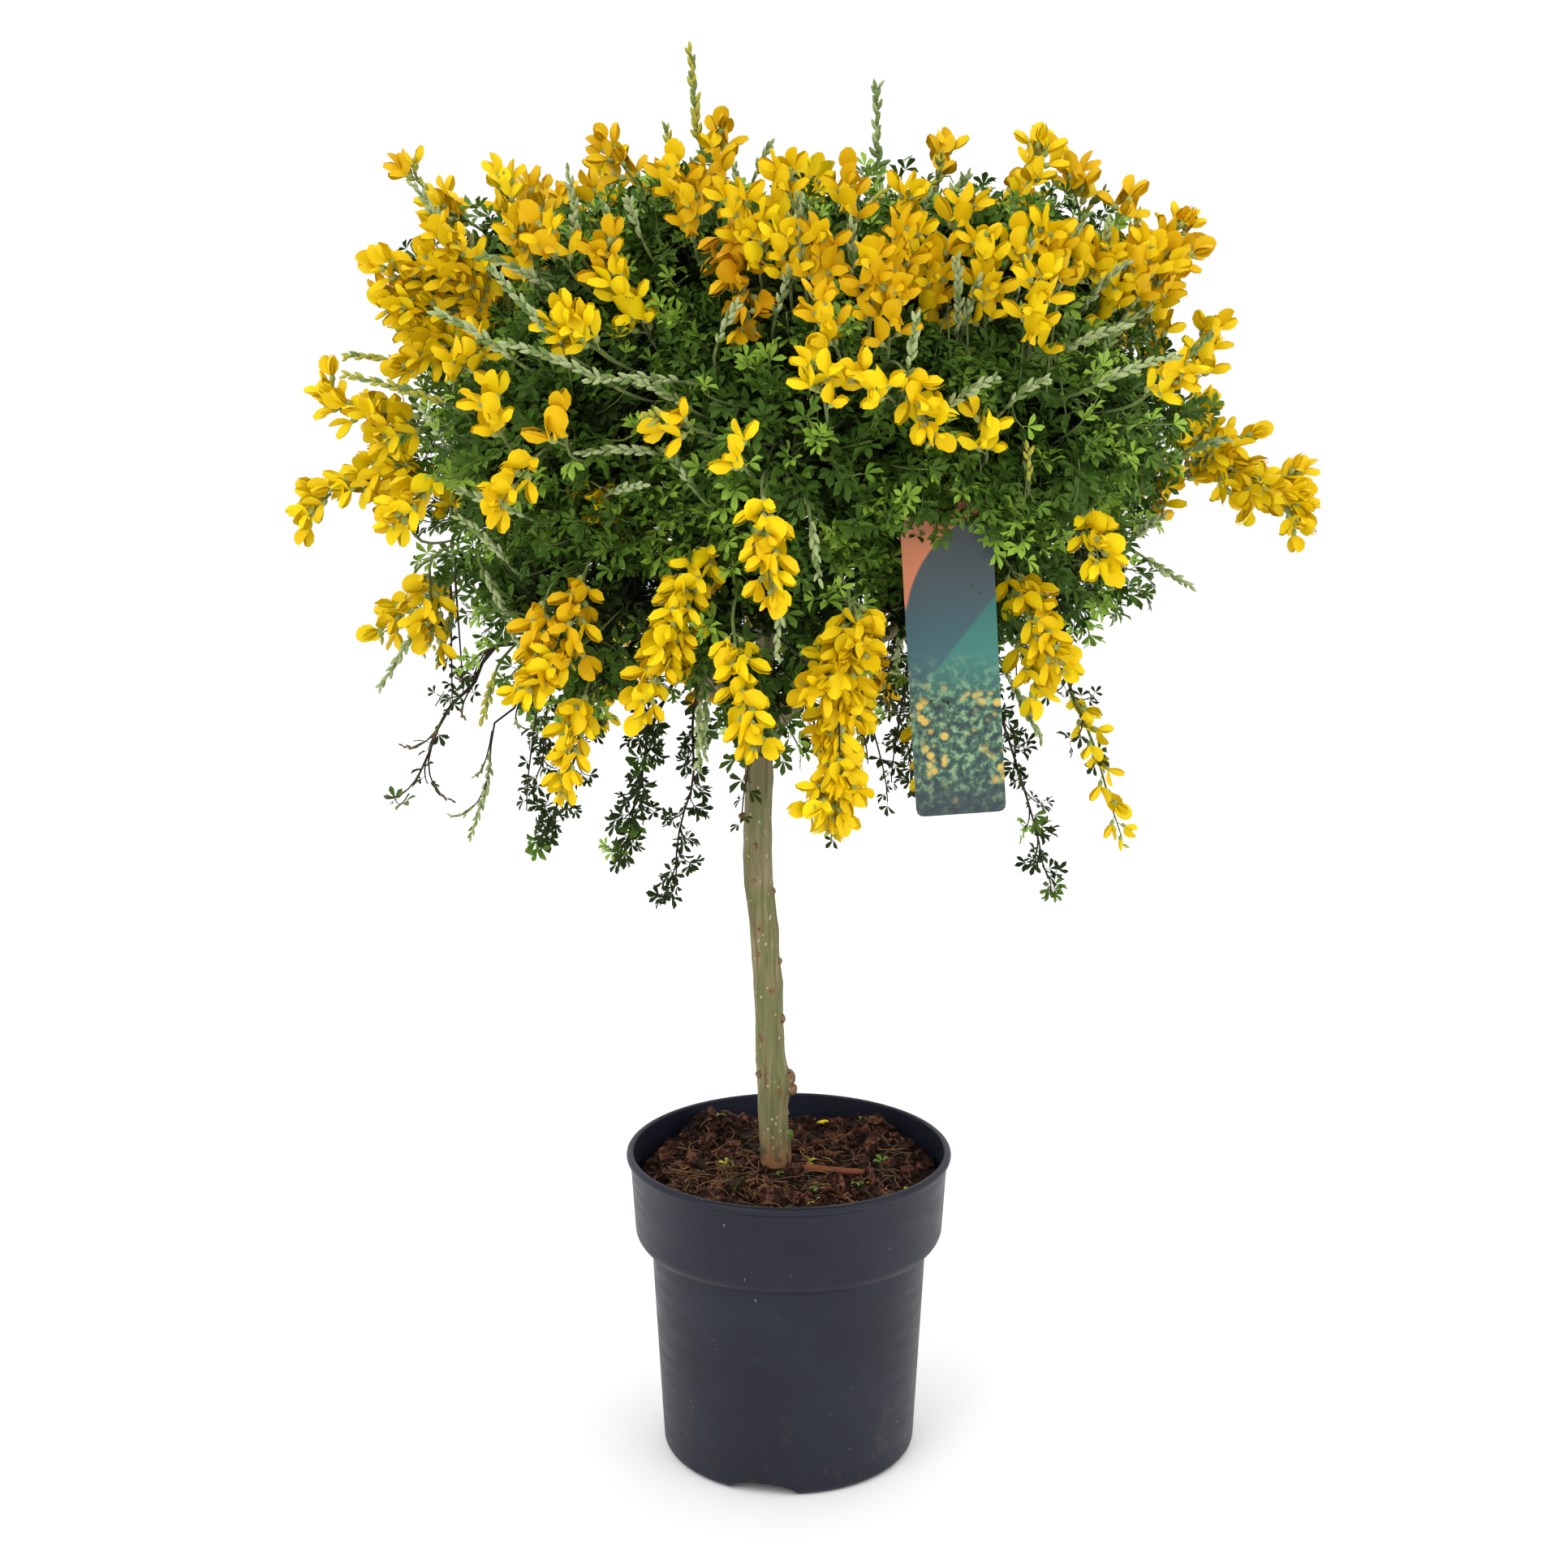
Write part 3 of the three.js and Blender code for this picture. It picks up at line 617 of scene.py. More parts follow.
@dataclass
class Heap:
    """Copies of forms that wait to be joined, kept apart by finish.

    Attributes:
        stem: what the joined pieces are called.
        parts: for each finish, its batches of corners and faces.
    """

    stem: str
    parts: dict[Tissue, list[Mesh]] = field(default_factory=dict)

    def add_copies(self, finish: Tissue, form: Form, turns: Array, sizes: Array, places: Array) -> None:
        """Add a copy of a form for each row of turns, sizes and places."""
        if not len(places):
            return
        corners = np.einsum("kij,nj->kni", turns, form.corners) * sizes[:, None, None] + places[:, None, :]
        self.add_mesh(finish, corners.reshape(-1, 3), copied(form.faces, len(places), len(form.corners)))

    def add_mesh(self, finish: Tissue, corners: Array, faces: Array) -> None:
        """Add one batch of triangles."""
        self.parts.setdefault(finish, []).append((corners, faces))

    def add_tubes(
        self, finish: Tissue, lines: Array, thick_mm: float | Array, taper: float = 0.45, sides: int = 4
    ) -> None:
        """Add a tapering twig along each of some lines, thick_mm in radius at its foot."""
        foot = np.full(len(lines), thick_mm * MM)
        self.add_mesh(finish, *tubes(lines, foot, taper * foot, sides))

    def triangles(self) -> int:
        """Count the triangles."""
        return sum(len(faces) for batches in self.parts.values() for _, faces in batches)

    def build(self) -> list[tuple[Piece, Tissue]]:
        """Join each finish's batches into pieces, none with too many triangles."""
        pieces = []
        for finish, batches in self.parts.items():
            groups, count = [[]], 0
            for batch in batches:
                if count and count + len(batch[1]) > MOST_TRIANGLES:
                    groups.append([])
                    count = 0
                groups[-1].append(batch)
                count += len(batch[1])
            for number, group in enumerate(groups, 1):
                piece = joined_object(f"{self.stem}_{finish.name.lower()}_{number}", group)
                pieces.append((coat(piece, finish.material()), finish))
        return pieces


def joined_object(name: str, batches: Sequence[Mesh]) -> Piece:
    """Make one object from batches of triangles."""
    corners, faces = merged(batches)
    mesh = bpy.data.meshes.new(name)
    mesh.vertices.add(len(corners))
    mesh.vertices.foreach_set("co", corners.astype(np.float32).ravel())
    mesh.loops.add(faces.size)
    mesh.loops.foreach_set("vertex_index", faces.astype(np.int32).ravel())
    mesh.polygons.add(len(faces))
    mesh.polygons.foreach_set("loop_start", np.arange(0, faces.size, 3, dtype=np.int32))
    mesh.update(calc_edges=True)
    piece = bpy.data.objects.new(name, mesh)
    bpy.context.scene.collection.objects.link(piece)
    return piece


def ring_faces(rings: int, sides: int) -> Array:
    """Return the triangles of a closed tube of rings whose two end centres are its last corners."""
    j = np.arange(sides)
    k = (j + 1) % sides
    faces = []
    for i in range(rings - 1):
        a, b, c, d = i * sides + j, i * sides + k, (i + 1) * sides + k, (i + 1) * sides + j
        faces += [np.stack([a, b, c], 1), np.stack([a, c, d], 1)]
    foot, head, top = rings * sides, rings * sides + 1, (rings - 1) * sides
    faces.append(np.stack([k, j, np.full(sides, foot)], 1))
    faces.append(np.stack([top + j, top + k, np.full(sides, head)], 1))
    return np.concatenate(faces)


def tubes(lines: Array, foot: Array, tip: Array, sides: int) -> Mesh:
    """Make tapering closed tubes along many lines at once.

    Args:
        lines: one row of points for each tube.
        foot: each tube's radius at its first point.
        tip: its radius at its last point.
        sides: number of faces round each tube.

    Returns:
        The corners and the triangles.
    """
    count, steps, _ = lines.shape
    tangent = unit(np.gradient(lines, axis=1))
    whole = unit(lines[:, -1] - lines[:, 0])
    side = np.where(np.abs(whole[:, 2:3]) > 0.8, np.array([[1.0, 0.0, 0.0]]), UP[None, :])
    x = unit(np.cross(tangent, side[:, None, :]))
    y = np.cross(tangent, x)
    turn = tau * np.arange(sides) / sides
    radius = foot[:, None] + (tip - foot)[:, None] * np.linspace(0, 1, steps)[None, :]
    ring = x[:, :, None] * np.cos(turn)[:, None] + y[:, :, None] * np.sin(turn)[:, None]
    corners = lines[:, :, None, :] + ring * radius[:, :, None, None]
    ends = np.stack([lines[:, 0], lines[:, -1]], axis=1)
    corners = np.concatenate([corners.reshape(count, steps * sides, 3), ends], axis=1)
    return corners.reshape(-1, 3), copied(ring_faces(steps, sides), count, steps * sides + 2)


def arched(start: Array, leave: Array, end: Array, arrive: Array, steps: int) -> Array:
    """Return points on smooth curves.

    Args:
        start: where the curve starts, or a row for each curve.
        leave: the direction it leaves in, with how far that direction holds as its length.
        end: where it ends.
        arrive: the direction it arrives in, with how long it has held as its length.
        steps: number of points.

    Returns:
        The points, or a row of points for each curve.
    """
    t = np.linspace(0, 1, steps)[:, None]
    p0, p3 = start[..., None, :], end[..., None, :]
    p1, p2 = p0 + leave[..., None, :], p3 - arrive[..., None, :]
    return (1 - t) ** 3 * p0 + 3 * (1 - t) ** 2 * t * p1 + 3 * (1 - t) * t**2 * p2 + t**3 * p3


# ---- pot


def half_width(node: str) -> float:
    """Return half a node's width."""
    low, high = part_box(node)
    return 0.5 * (high.x - low.x)


@dataclass
class NurseryPot:
    """The collared pot: a turned wall and floor with drain notches and holes."""

    node: str = "pot"
    lip: float = 5 * MM
    wall: float = 1.7 * MM
    steps: int = 160
    notches: int = 3
    notch_turn: float = radians(-102)

    def profile(self) -> list[tuple[float, float]]:
        """Return the wall's section as radius and height, outside then inside."""
        rim, top = half_width(self.node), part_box(self.node)[1].z
        collar, foot_of_collar, body, foot = rim - 2.4 * MM, rim - 4.8 * MM, rim - 14 * MM, rim - 20.4 * MM
        floor = top - 46 * MM
        under = foot_of_collar - body
        half = 0.5 * self.lip
        lip = self.rounded(rim - half, top - half, half, range(-80, 91, 17))
        turn_in = self.rounded(body, floor, under, range(-78, 1, 13))
        heel = self.rounded(foot - 5 * MM, 5 * MM, 5 * MM, range(-50, 1, 10))
        outside = [
            (0, 0), (22 * MM, 0), (22.8 * MM, 0.4 * MM), (23.5 * MM, 3.5 * MM), (59.5 * MM, 3.5 * MM),
            (60.4 * MM, 0.4 * MM), (61 * MM, 0), (71 * MM, 0), *heel,
            (body - 0.3 * MM, floor - under - 4 * MM), (body, floor - under - 0.6 * MM), *turn_in,
            (collar, top - self.lip - 1.4 * MM), (collar + 0.5 * MM, top - self.lip - 0.2 * MM), *lip,
        ]
        inside = [
            (collar - self.wall + 0.6 * MM, top), (collar - self.wall, top - 0.8 * MM),
            (foot_of_collar - self.wall, floor), (body - self.wall, floor - under - 2 * MM),
            (foot - self.wall, 10 * MM), (foot - self.wall - 5 * MM, 5.4 * MM), (0, 5.4 * MM),
        ]
        return outside + inside

    @staticmethod
    def rounded(r: float, z: float, radius: float, turns: Sequence[int]) -> list[tuple[float, float]]:
        """Return the points of a rounded edge about a centre, at angles in degrees."""
        angles = [radians(a) for a in turns]
        return [(r + radius * cos(a), z + radius * sin(a)) for a in angles]

    def build(self) -> Piece:
        """Spin the section, cut the notches and holes, and dress the pot."""
        section = self.profile()
        ops.mesh.primitive_circle_add(vertices=len(section), radius=0.01)
        pot = bpy.context.object
        pot.name = "nursery_pot"
        for corner, (radius, height) in zip(pot.data.vertices, section):
            corner.co = (radius, 0, height)
        with editing():
            # The circle's last edge would close the section along the axis, so it goes.
            shape = bmesh.from_edit_mesh(pot.data)
            last = next(e for e in shape.edges if {v.index for v in e.verts} == {0, len(section) - 1})
            bmesh.ops.delete(shape, geom=[last], context="EDGES")
            bmesh.update_edit_mesh(pot.data)
            ops.mesh.spin(steps=self.steps, angle=tau, center=(0, 0, 0), axis=(0, 0, 1))
            ops.mesh.select_all(action="SELECT")
            ops.mesh.remove_doubles(threshold=1e-5)
            ops.mesh.normals_make_consistent(inside=False)
        for cutter in self.cutters():
            self.cut(pot, cutter)
        coat(pot, MouldedPolypropylene.material())
        ops.object.shade_smooth_by_angle(angle=radians(32))
        return pot

    def cutters(self) -> list[Piece]:
        """Make the round arches of the notches and the drain holes."""
        foot = half_width(self.node) - 20.4 * MM
        made = []
        for number in range(self.notches):
            turn = self.notch_turn + tau * number / self.notches
            place = (foot * cos(turn), foot * sin(turn), 0)
            ops.mesh.primitive_cylinder_add(
                vertices=48, radius=1, depth=30 * MM, location=place, rotation=(0, 0.5 * pi, turn)
            )
            arch = bpy.context.object
            arch.scale = (7.5 * MM, 20.5 * MM, 1)
            made.append(arch)
        for number in range(6):
            turn = tau * number / 6
            place = (40 * MM * cos(turn), 40 * MM * sin(turn), 4 * MM)
            ops.mesh.primitive_cylinder_add(vertices=24, radius=5 * MM, depth=12 * MM, location=place)
            made.append(bpy.context.object)
        return made

    @staticmethod
    def cut(pot: Piece, cutter: Piece) -> None:
        """Cut one shape out of the pot."""
        bpy.context.view_layer.update()
        knife = pot.modifiers.new("drain", "BOOLEAN")
        knife.operation = "DIFFERENCE"
        knife.solver = "EXACT"
        knife.object = cutter
        alone(pot)
        ops.object.modifier_apply(modifier=knife.name)
        bpy.data.objects.remove(cutter)


# ---- compost


@dataclass
class Compost:
    """Heaped bark compost: a crumbly bed strewn with chips, fibres and fallen leaflets."""

    node: str = "potting_mix"
    stem_at: tuple[float, float] = (-8 * MM, 0.0)
    chips: int = 2900
    fibres: int = 300
    litter: int = 24
    plug: float = 140 * MM
    seed: int = 11
    # Heaps on the bed, in millimetres: how far right, how far back, how high and how wide.
    heaps: tuple = ((-44, 57, 13, 24), (52, 58, 9, 26), (-8, 22, 3, 20), (72, 10, 4, 18))

    def level(self, x: Array, y: Array) -> Array:
        """Return the bed's height at places on the pot's floor plan."""
        share = np.hypot(x, y) / half_width(self.node)
        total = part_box(self.node)[1].z - 0.4 * MM - 4.5 * MM * np.clip(share - 0.2, 0, 1)
        for across, along, height, spread in self.heaps:
            away = np.hypot(x - across * MM, y - along * MM)
            total = total + height * MM * np.exp(-((away / (spread * MM)) ** 2))
        return total

    def bed(self) -> Piece:
        """Model the crumbly surface and the plug of compost below it."""
        low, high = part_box(self.node)
        radius = half_width(self.node) - 1.2 * MM
        ops.mesh.primitive_cylinder_add(
            vertices=160, radius=radius, depth=high.z - self.plug, end_fill_type="NGON",
            location=(0, 0, 0.5 * (high.z + self.plug)),
        )
        bed = bpy.context.object
        bed.name = "compost_bed"
        ops.object.transform_apply(location=True)
        self.extrude_plug(bed, low.z, radius)
        shape = bmesh.new()
        shape.from_mesh(bed.data)
        top = max(shape.faces, key=lambda f: f.calc_center_median().z)
        for _ in range(46):
            bmesh.ops.inset_region(shape, faces=[top], thickness=radius / 48, use_even_offset=True)
        bmesh.ops.poke(shape, faces=[top])
        shape.to_mesh(bed.data)
        shape.free()
        corners = np.array([v.co for v in bed.data.vertices])
        upper = corners[:, 2] > high.z - 0.1 * MM
        crumbs = self.crumble(corners[:, 0], corners[:, 1])
        lowered = self.level(corners[:, 0], corners[:, 1]) + crumbs
        corners[:, 2] = np.where(upper, lowered, corners[:, 2])
        bed.data.vertices.foreach_set("co", corners.ravel())
        bed.data.update()
        return coat(bed, CompostedBark.material("damp_bark_compost", "140b08", "34201a", 1.6))

    def extrude_plug(self, bed: Piece, floor: float, radius: float) -> None:
        """Carry the drum-shaped bed's underside down inside the pot, past its shelf to its floor."""
        ops.object.mode_set(mode="EDIT")
        ops.mesh.select_mode(type="FACE")
        ops.mesh.select_all(action="DESELECT")
        shape = bmesh.from_edit_mesh(bed.data)
        min(shape.faces, key=lambda f: f.calc_center_median().z).select = True
        bmesh.update_edit_mesh(bed.data)
        wide, height = radius, self.plug
        step = 16 * MM  # the height over which the compost narrows under the pot's collar
        for goal, drop in ((77 * MM, step), (71 * MM, self.plug - step - floor)):
            ops.mesh.extrude_region_move(TRANSFORM_OT_translate={"value": (0, 0, -drop)})
            height -= drop
            share = goal / wide
            ops.transform.resize(value=(share, share, 1), center_override=(0, 0, height))
            wide = goal
        ops.object.mode_set(mode="OBJECT")

    @staticmethod
    def crumble(x: Array, y: Array) -> Array:
        """Return small heights that break up the bed, worked out from waves of several lengths."""
        total = np.zeros_like(x)
        for number, (length, height) in enumerate([(34, 1.8), (17, 1.6), (9, 1.2), (5, 0.8), (3.3, 0.5)]):
            turn = 1.3 * number
            u = (x * cos(turn) + y * sin(turn)) / (length * MM) * tau
            v = (y * cos(turn) - x * sin(turn)) / (length * MM) * tau
            total += height * MM * np.sin(u + 1.7 * np.sin(0.8 * v)) * np.cos(v + number)
        return total - 1.6 * MM

    @staticmethod
    def chip_form() -> Form:
        """Model a chip of bark: a box with its corners knocked off."""
        ops.mesh.primitive_cube_add(size=1)
        with editing():
            ops.mesh.bevel(offset=0.18, segments=1, affect="VERTICES")
        return Form.taken(bpy.context.object)

    def scattered(self, rng: Rng, count: int, edge: float | Array) -> Array:
        """Return places strewn evenly over the bed, clear of the stem and of the bed's edge."""
        radius = half_width(self.node) - edge
        turn = rng.uniform(0, tau, count)
        away = radius * np.sqrt(rng.uniform(0, 1, count))
        x, y = away * np.cos(turn), away * np.sin(turn)
        gap = np.hypot(x - self.stem_at[0], y - self.stem_at[1])
        push = np.maximum(1.0, 13 * MM / np.maximum(gap, MM))
        x, y = self.stem_at[0] + (x - self.stem_at[0]) * push, self.stem_at[1] + (y - self.stem_at[1]) * push
        return np.stack([x, y, self.level(x, y) + self.crumble(x, y)], axis=1)

    def chip_pieces(self, rng: Rng) -> list[Piece]:
        """Strew chips of two barks over the bed."""
        form = self.chip_form()
        pieces = []
        kinds = [("dark", "1d110c", "523424", 2.2, 0.55), ("red", "4c2c20", "8e5e48", 2.6, 0.45)]
        for name, dark, light, grain_mm, share in kinds:
            count = int(self.chips * share)
            sizes = np.exp(rng.normal(log(3.1), 0.6, count)).clip(1.2, 15) * MM
            places = self.scattered(rng, count, 0.6 * sizes + 2.5 * MM)
            stretch = np.stack(
                [np.ones(count), rng.uniform(0.35, 0.9, count), rng.uniform(0.16, 0.45, count)], axis=1
            )
            facing = unit(rng.normal(0, 0.75, (count, 3)) + UP)
            turns = frames(rng.normal(0, 1, (count, 3)) * np.array([1, 1, 0.35]), facing)
            knocked = form.corners[None] * (stretch * sizes[:, None])[:, None, :]
            knocked = knocked * rng.uniform(0.72, 1.28, knocked.shape)
            corners = np.einsum("kij,knj->kni", turns, knocked) + places[:, None, :]
            faces = copied(form.faces, count, len(form.corners))
            piece = joined_object(f"bark_chips_{name}", [(corners.reshape(-1, 3), faces)])
            finish = CompostedBark.material(f"bark_chip_{name}", dark, light, grain_mm)
            pieces.append(coat(piece, finish, smooth=False))
        return pieces

    def fibre_heap(self, rng: Rng, leaves: list[Form], petals: list[Form]) -> Heap:
        """Lay root fibres, a bark stick, fallen leaves and petals on the bed."""
        heap = Heap("compost_litter")
        count = self.fibres
        places = self.scattered(rng, count, 14 * MM) + 1.4 * MM * UP
        # Two fibres in five lie in a mat at the front left.
        mat = rng.uniform(size=count) < 0.4
        places[mat, 0] = -46 * MM + 20 * MM * rng.normal(size=mat.sum()).clip(-1.4, 1.4)
        places[mat, 1] = -16 * MM + 20 * MM * rng.normal(size=mat.sum()).clip(-1.4, 1.4)
        places[:, 2] = self.level(places[:, 0], places[:, 1]) + 2.2 * MM
        turn = rng.uniform(0, tau, count)
        flat = np.stack([np.cos(turn), np.sin(turn), np.zeros(count)], 1)
        reach = rng.uniform(6, 24, count)[:, None] * MM
        ends = places + flat * reach
        ends[:, 2] = self.level(ends[:, 0], ends[:, 1]) + 1.4 * MM
        keep = np.hypot(ends[:, 0], ends[:, 1]) < 80 * MM
        bend = np.cross(flat, UP) * rng.normal(0, 0.3, (count, 1)) * reach
        leave = flat * reach * 0.4 + bend + 0.15 * reach * UP
        lines = arched(places, leave, ends, flat * reach * 0.3 - bend, 6)
        pale = rng.uniform(size=count) < 0.65
        for finish, some in ((Tissue.DRY_ROOT_FIBRE, keep & pale), (Tissue.TWIG_BROWN, keep & ~pale)):
            heap.add_tubes(finish, lines[some], rng.uniform(0.18, 0.42, some.sum()), 0.6, 3)
        self.lay_stick(heap, rng)
        self.lay_fallen(heap, rng, Tissue.LEAF_FULL_GREEN, leaves[0], self.litter, 0.62)
        self.lay_fallen(heap, rng, Tissue.BUD_OLIVE, leaves[1], self.litter // 3, 0.6)
        self.lay_fallen(heap, rng, Tissue.PETAL_LEMON, petals[4], 4, 0.75)
        return heap

    def lay_stick(self, heap: Heap, rng: Rng) -> None:
        """Lay a broken stick of red bark on the bed, to the right of the stem."""
        x = np.linspace(2, 44, 9) * MM
        y = -13 * MM + 1.2 * MM * np.sin(x / (9 * MM))
        line = np.stack([x, y, self.level(x, y) + 2.6 * MM], axis=1)
        corners, faces = tubes(line[None], np.array([2.4 * MM]), np.array([1.5 * MM]), 8)
        heap.add_mesh(Tissue.RED_BROWN_BARK_STICK, corners + rng.normal(0, 0.22 * MM, corners.shape), faces)

    def lay_fallen(self, heap: Heap, rng: Rng, finish: Tissue, form: Form, count: int, size: float) -> None:
        """Strew fallen leaves or petals of one finish over the bed, lying nearly flat."""
        places = self.scattered(rng, count, 16 * MM) + 2.4 * MM * UP
        along = rng.normal(0, 1, (count, 3)) * np.array([1, 1, 0.2])
        turns = frames(along, UP + rng.normal(0, 0.3, (count, 3)))
        heap.add_copies(finish, form, turns, size * rng.uniform(0.75, 1.15, count), places)


# ---- stem and boughs


def box_centre(points: Array) -> Array:
    """Return the middle of the box round some points."""
    return 0.5 * (points.min(axis=0) + points.max(axis=0))


class Solid:
    """One solid of the frame, as corners and triangles."""

    def __init__(self, name: str) -> None:
        """Read the node of that name."""
        self.name = name
        mesh = bpy.data.objects[name].data
        self.corners = np.array([v.co for v in mesh.vertices])
        mesh.calc_loop_triangles()
        self.faces = np.array([t.vertices[:] for t in mesh.loop_triangles])

    def centre_line(self, start: Array, stations: int) -> Array:
        """Return some points down the middle of a limb, from the end that is nearer to start."""
        away = np.linalg.norm(self.corners - start, axis=1)
        far = self.corners[away.argmax()]
        near = self.corners[away.argmin()]
        share = (self.corners - near) @ (far - near) / np.sum((far - near) ** 2)
        order = np.argsort(share)
        groups = np.array_split(order, stations)
        return np.array([self.corners[g].mean(axis=0) for g in groups])

    def section(self, height: float) -> tuple[Array, Array]:
        """Return the points at which a level cut at a height crosses the limb's edges, and their middle."""
        points = []
        for i, j in ((0, 1), (1, 2), (2, 0)):
            a, b = self.corners[self.faces[:, i]], self.corners[self.faces[:, j]]
            crossing = (a[:, 2] - height) * (b[:, 2] - height) < 0
            a, b = a[crossing], b[crossing]
            t = (height - a[:, 2]) / (b[:, 2] - a[:, 2])
            points.append(a + (b - a) * t[:, None])
        cut = np.concatenate(points)
        return cut, box_centre(cut)

    def centre(self) -> Array:
        """Return the middle of the solid's box."""
        return box_centre(self.corners)

    def samples(self, rng: Rng, per_area: float) -> tuple[Array, Array]:
        """Return random places on the surface, per_area to the square metre, and their outward directions."""
        a, b, c = (self.corners[self.faces[:, i]] for i in range(3))
        cross = np.cross(b - a, c - a)
        area = 0.5 * np.linalg.norm(cross, axis=1)
        count = int(per_area * area.sum())
        chosen = rng.choice(len(area), count, p=area / area.sum())
        u, v = rng.uniform(size=(2, count, 1))
        flip = u + v > 1
        u, v = np.where(flip, 1 - u, u), np.where(flip, 1 - v, v)
        places = a[chosen] + u * (b - a)[chosen] + v * (c - a)[chosen]
        return places, unit(cross[chosen])


@dataclass
class Stem:
    """The bare trunk and its main boughs, with the relief of young bark.

    Attributes:
        boughs: the boughs' nodes.
        bough_tips: where each bough ends, by name, once it is built.
        bough_headings: the direction each ends in.
    """

    boughs: list[str]
    rings: int = 330
    sides: int = 84
    seed: int = 5
    slim_foot: float = 0.17  # how much narrower than its solid the trunk is where it enters the compost
    bough_tips: dict[str, Array] = field(default_factory=dict)
    bough_headings: dict[str, Array] = field(default_factory=dict)

    def relief(self, turn: Array, height: Array, radius: Array) -> Array:
        """Return how far the bark stands out, from long fissures, ribs and small pimples."""
        rng = np.random.default_rng(self.seed)
        total = np.zeros(np.broadcast(turn, height).shape)
        waves = ((110, 0.45, 3), (70, 0.38, 5), (46, 0.3, 8), (26, 0.18, 13), (12, 0.1, 21))
        for length, depth, across in waves:
            for _ in range(3):
                start, twist = rng.uniform(0, tau, 2)
                wave = np.sin(across * turn + tau * height / (length * MM) + start)
                total += depth * MM / 3 * wave * np.cos(tau * height / (1.7 * length * MM) + twist)
        fissure = np.sin(9 * turn + 0.9 * np.sin(height / (11 * MM)) + 0.5 * np.sin(height / (4.3 * MM)))
        total -= 0.22 * MM * np.clip(fissure, 0.4, 1.0)
        return total * np.clip(radius / (8 * MM), 0.3, 1.2)

    def trunk_surface(self) -> Mesh:
        """Wrap a fine relief round the trunk's own sections."""
        limb = Solid("trunk")
        low, high = limb.corners[:, 2].min(), limb.corners[:, 2].max()
        heights = np.linspace(low + 0.05 * MM, high - 0.6 * MM, self.rings)
        turns = tau * np.arange(self.sides) / self.sides
        middles, radii = np.empty((self.rings, 3)), np.empty((self.rings, self.sides))
        for i, height in enumerate(heights):
            cut, middles[i] = limb.section(height)
            x, y, _ = (cut - middles[i]).T
            angle = np.arctan2(y, x)
            order = np.argsort(angle)
            radii[i] = np.interp(turns, angle[order], np.hypot(x, y)[order], period=tau)
        radii = self.smoothed(radii)
        radii *= 1 - self.slim_foot * np.exp(-(heights - low) / (10 * MM))[:, None]
        middles[:, :2] = self.smoothed(middles[:, :2].copy(), wrap=False)
        radii = radii + self.relief(turns[None, :], heights[:, None], radii)
        x = middles[:, 0:1] + radii * np.cos(turns)
        y = middles[:, 1:2] + radii * np.sin(turns)
        z = np.broadcast_to(heights[:, None], x.shape)
        corners = np.stack([x, y, z], axis=-1).reshape(-1, 3)
        foot, head = [*middles[0, :2], low + 0.05 * MM], [*middles[-1, :2], high - 0.2 * MM]
        return np.concatenate([corners, [foot, head]]), ring_faces(self.rings, self.sides)

    @staticmethod
    def smoothed(rows: Array, wrap: bool = True) -> Array:
        """Round off the flats of the frame's solid, along the limb and, if wrap, round it."""
        for _ in range(14):
            rows[1:-1] = 0.5 * rows[1:-1] + 0.25 * (rows[:-2] + rows[2:])
            if wrap:
                rows = 0.5 * rows + 0.25 * (np.roll(rows, 1, axis=1) + np.roll(rows, -1, axis=1))
        return rows

    def scars(self) -> Piece:
        """Model the healed stubs of pruned shoots."""
        # Height, direction in degrees, half width, and how far each stands out.
        scars = [
            (404, 205, 3.2, 1.6), (381, 185, 2.4, 3.4), (366, 265, 2.6, 0.8), (345, 250, 2.2, 0.7),
            (338, 345, 2.4, 1.2), (317, 255, 2.4, 0.7), (302, 240, 2.2, 0.7), (296, 350, 2.4, 1.4),
            (280, 280, 2.6, 0.6), (262, 340, 3.0, 1.6), (252, 235, 2.8, 0.7), (240, 120, 2.6, 1.2),
            (229, 205, 2.4, 1.6), (226, 350, 4.6, 2.2), (219, 348, 3.6, 3.2), (203, 20, 2.6, 1.0),
            (320, 80, 2.6, 1.2), (372, 60, 2.4, 1.4),
        ]
        limb = Solid("trunk")
        dome = kernel(14, 9, 1.0, 1.0, 0.25)
        rng = np.random.default_rng(self.seed + 1)
        surfaces = []
        for height_mm, degrees, wide_mm, out_mm in scars:
            cut, middle = limb.section(height_mm * MM)
            away = np.array([cos(radians(degrees)), sin(radians(degrees)), 0.0])
            reach = ((cut - middle) @ away).max()
            size = np.array([2 * wide_mm, out_mm + 3.2, 2.4 * wide_mm]) * MM
            turn = frames(away + 0.15 * UP, UP)
            corners = (dome.corners * size) @ turn.T + middle + away * (reach - 3.2 * MM)
            surfaces.append((corners + rng.normal(0, 0.1 * MM, corners.shape), dome.faces))
        return coat(joined_object("pruning_scars", surfaces), CallusWood.material())

    def bough_surface(self, name: str, fork: Array) -> Mesh:
        """Wrap relief round one bough, rooted inside the trunk's head."""
        line = Solid(name).centre_line(fork, 7)
        line = np.concatenate([[fork - 4 * MM * UP + 0.25 * (line[0] - fork)], line])
        rings, sides = 60, 20
        fine = resampled(line, rings)
        self.bough_tips[name] = fine[-1]
        self.bough_headings[name] = unit(fine[-1] - fine[-8])
        corners, faces = tubes(fine[None], np.array([5.0 * MM]), np.array([2.6 * MM]), sides)
        out = corners[:-2].reshape(rings, sides, 3) - fine[:, None]
        radius = np.linalg.norm(out, axis=-1)
        turn = tau * np.arange(sides)[None, :] / sides
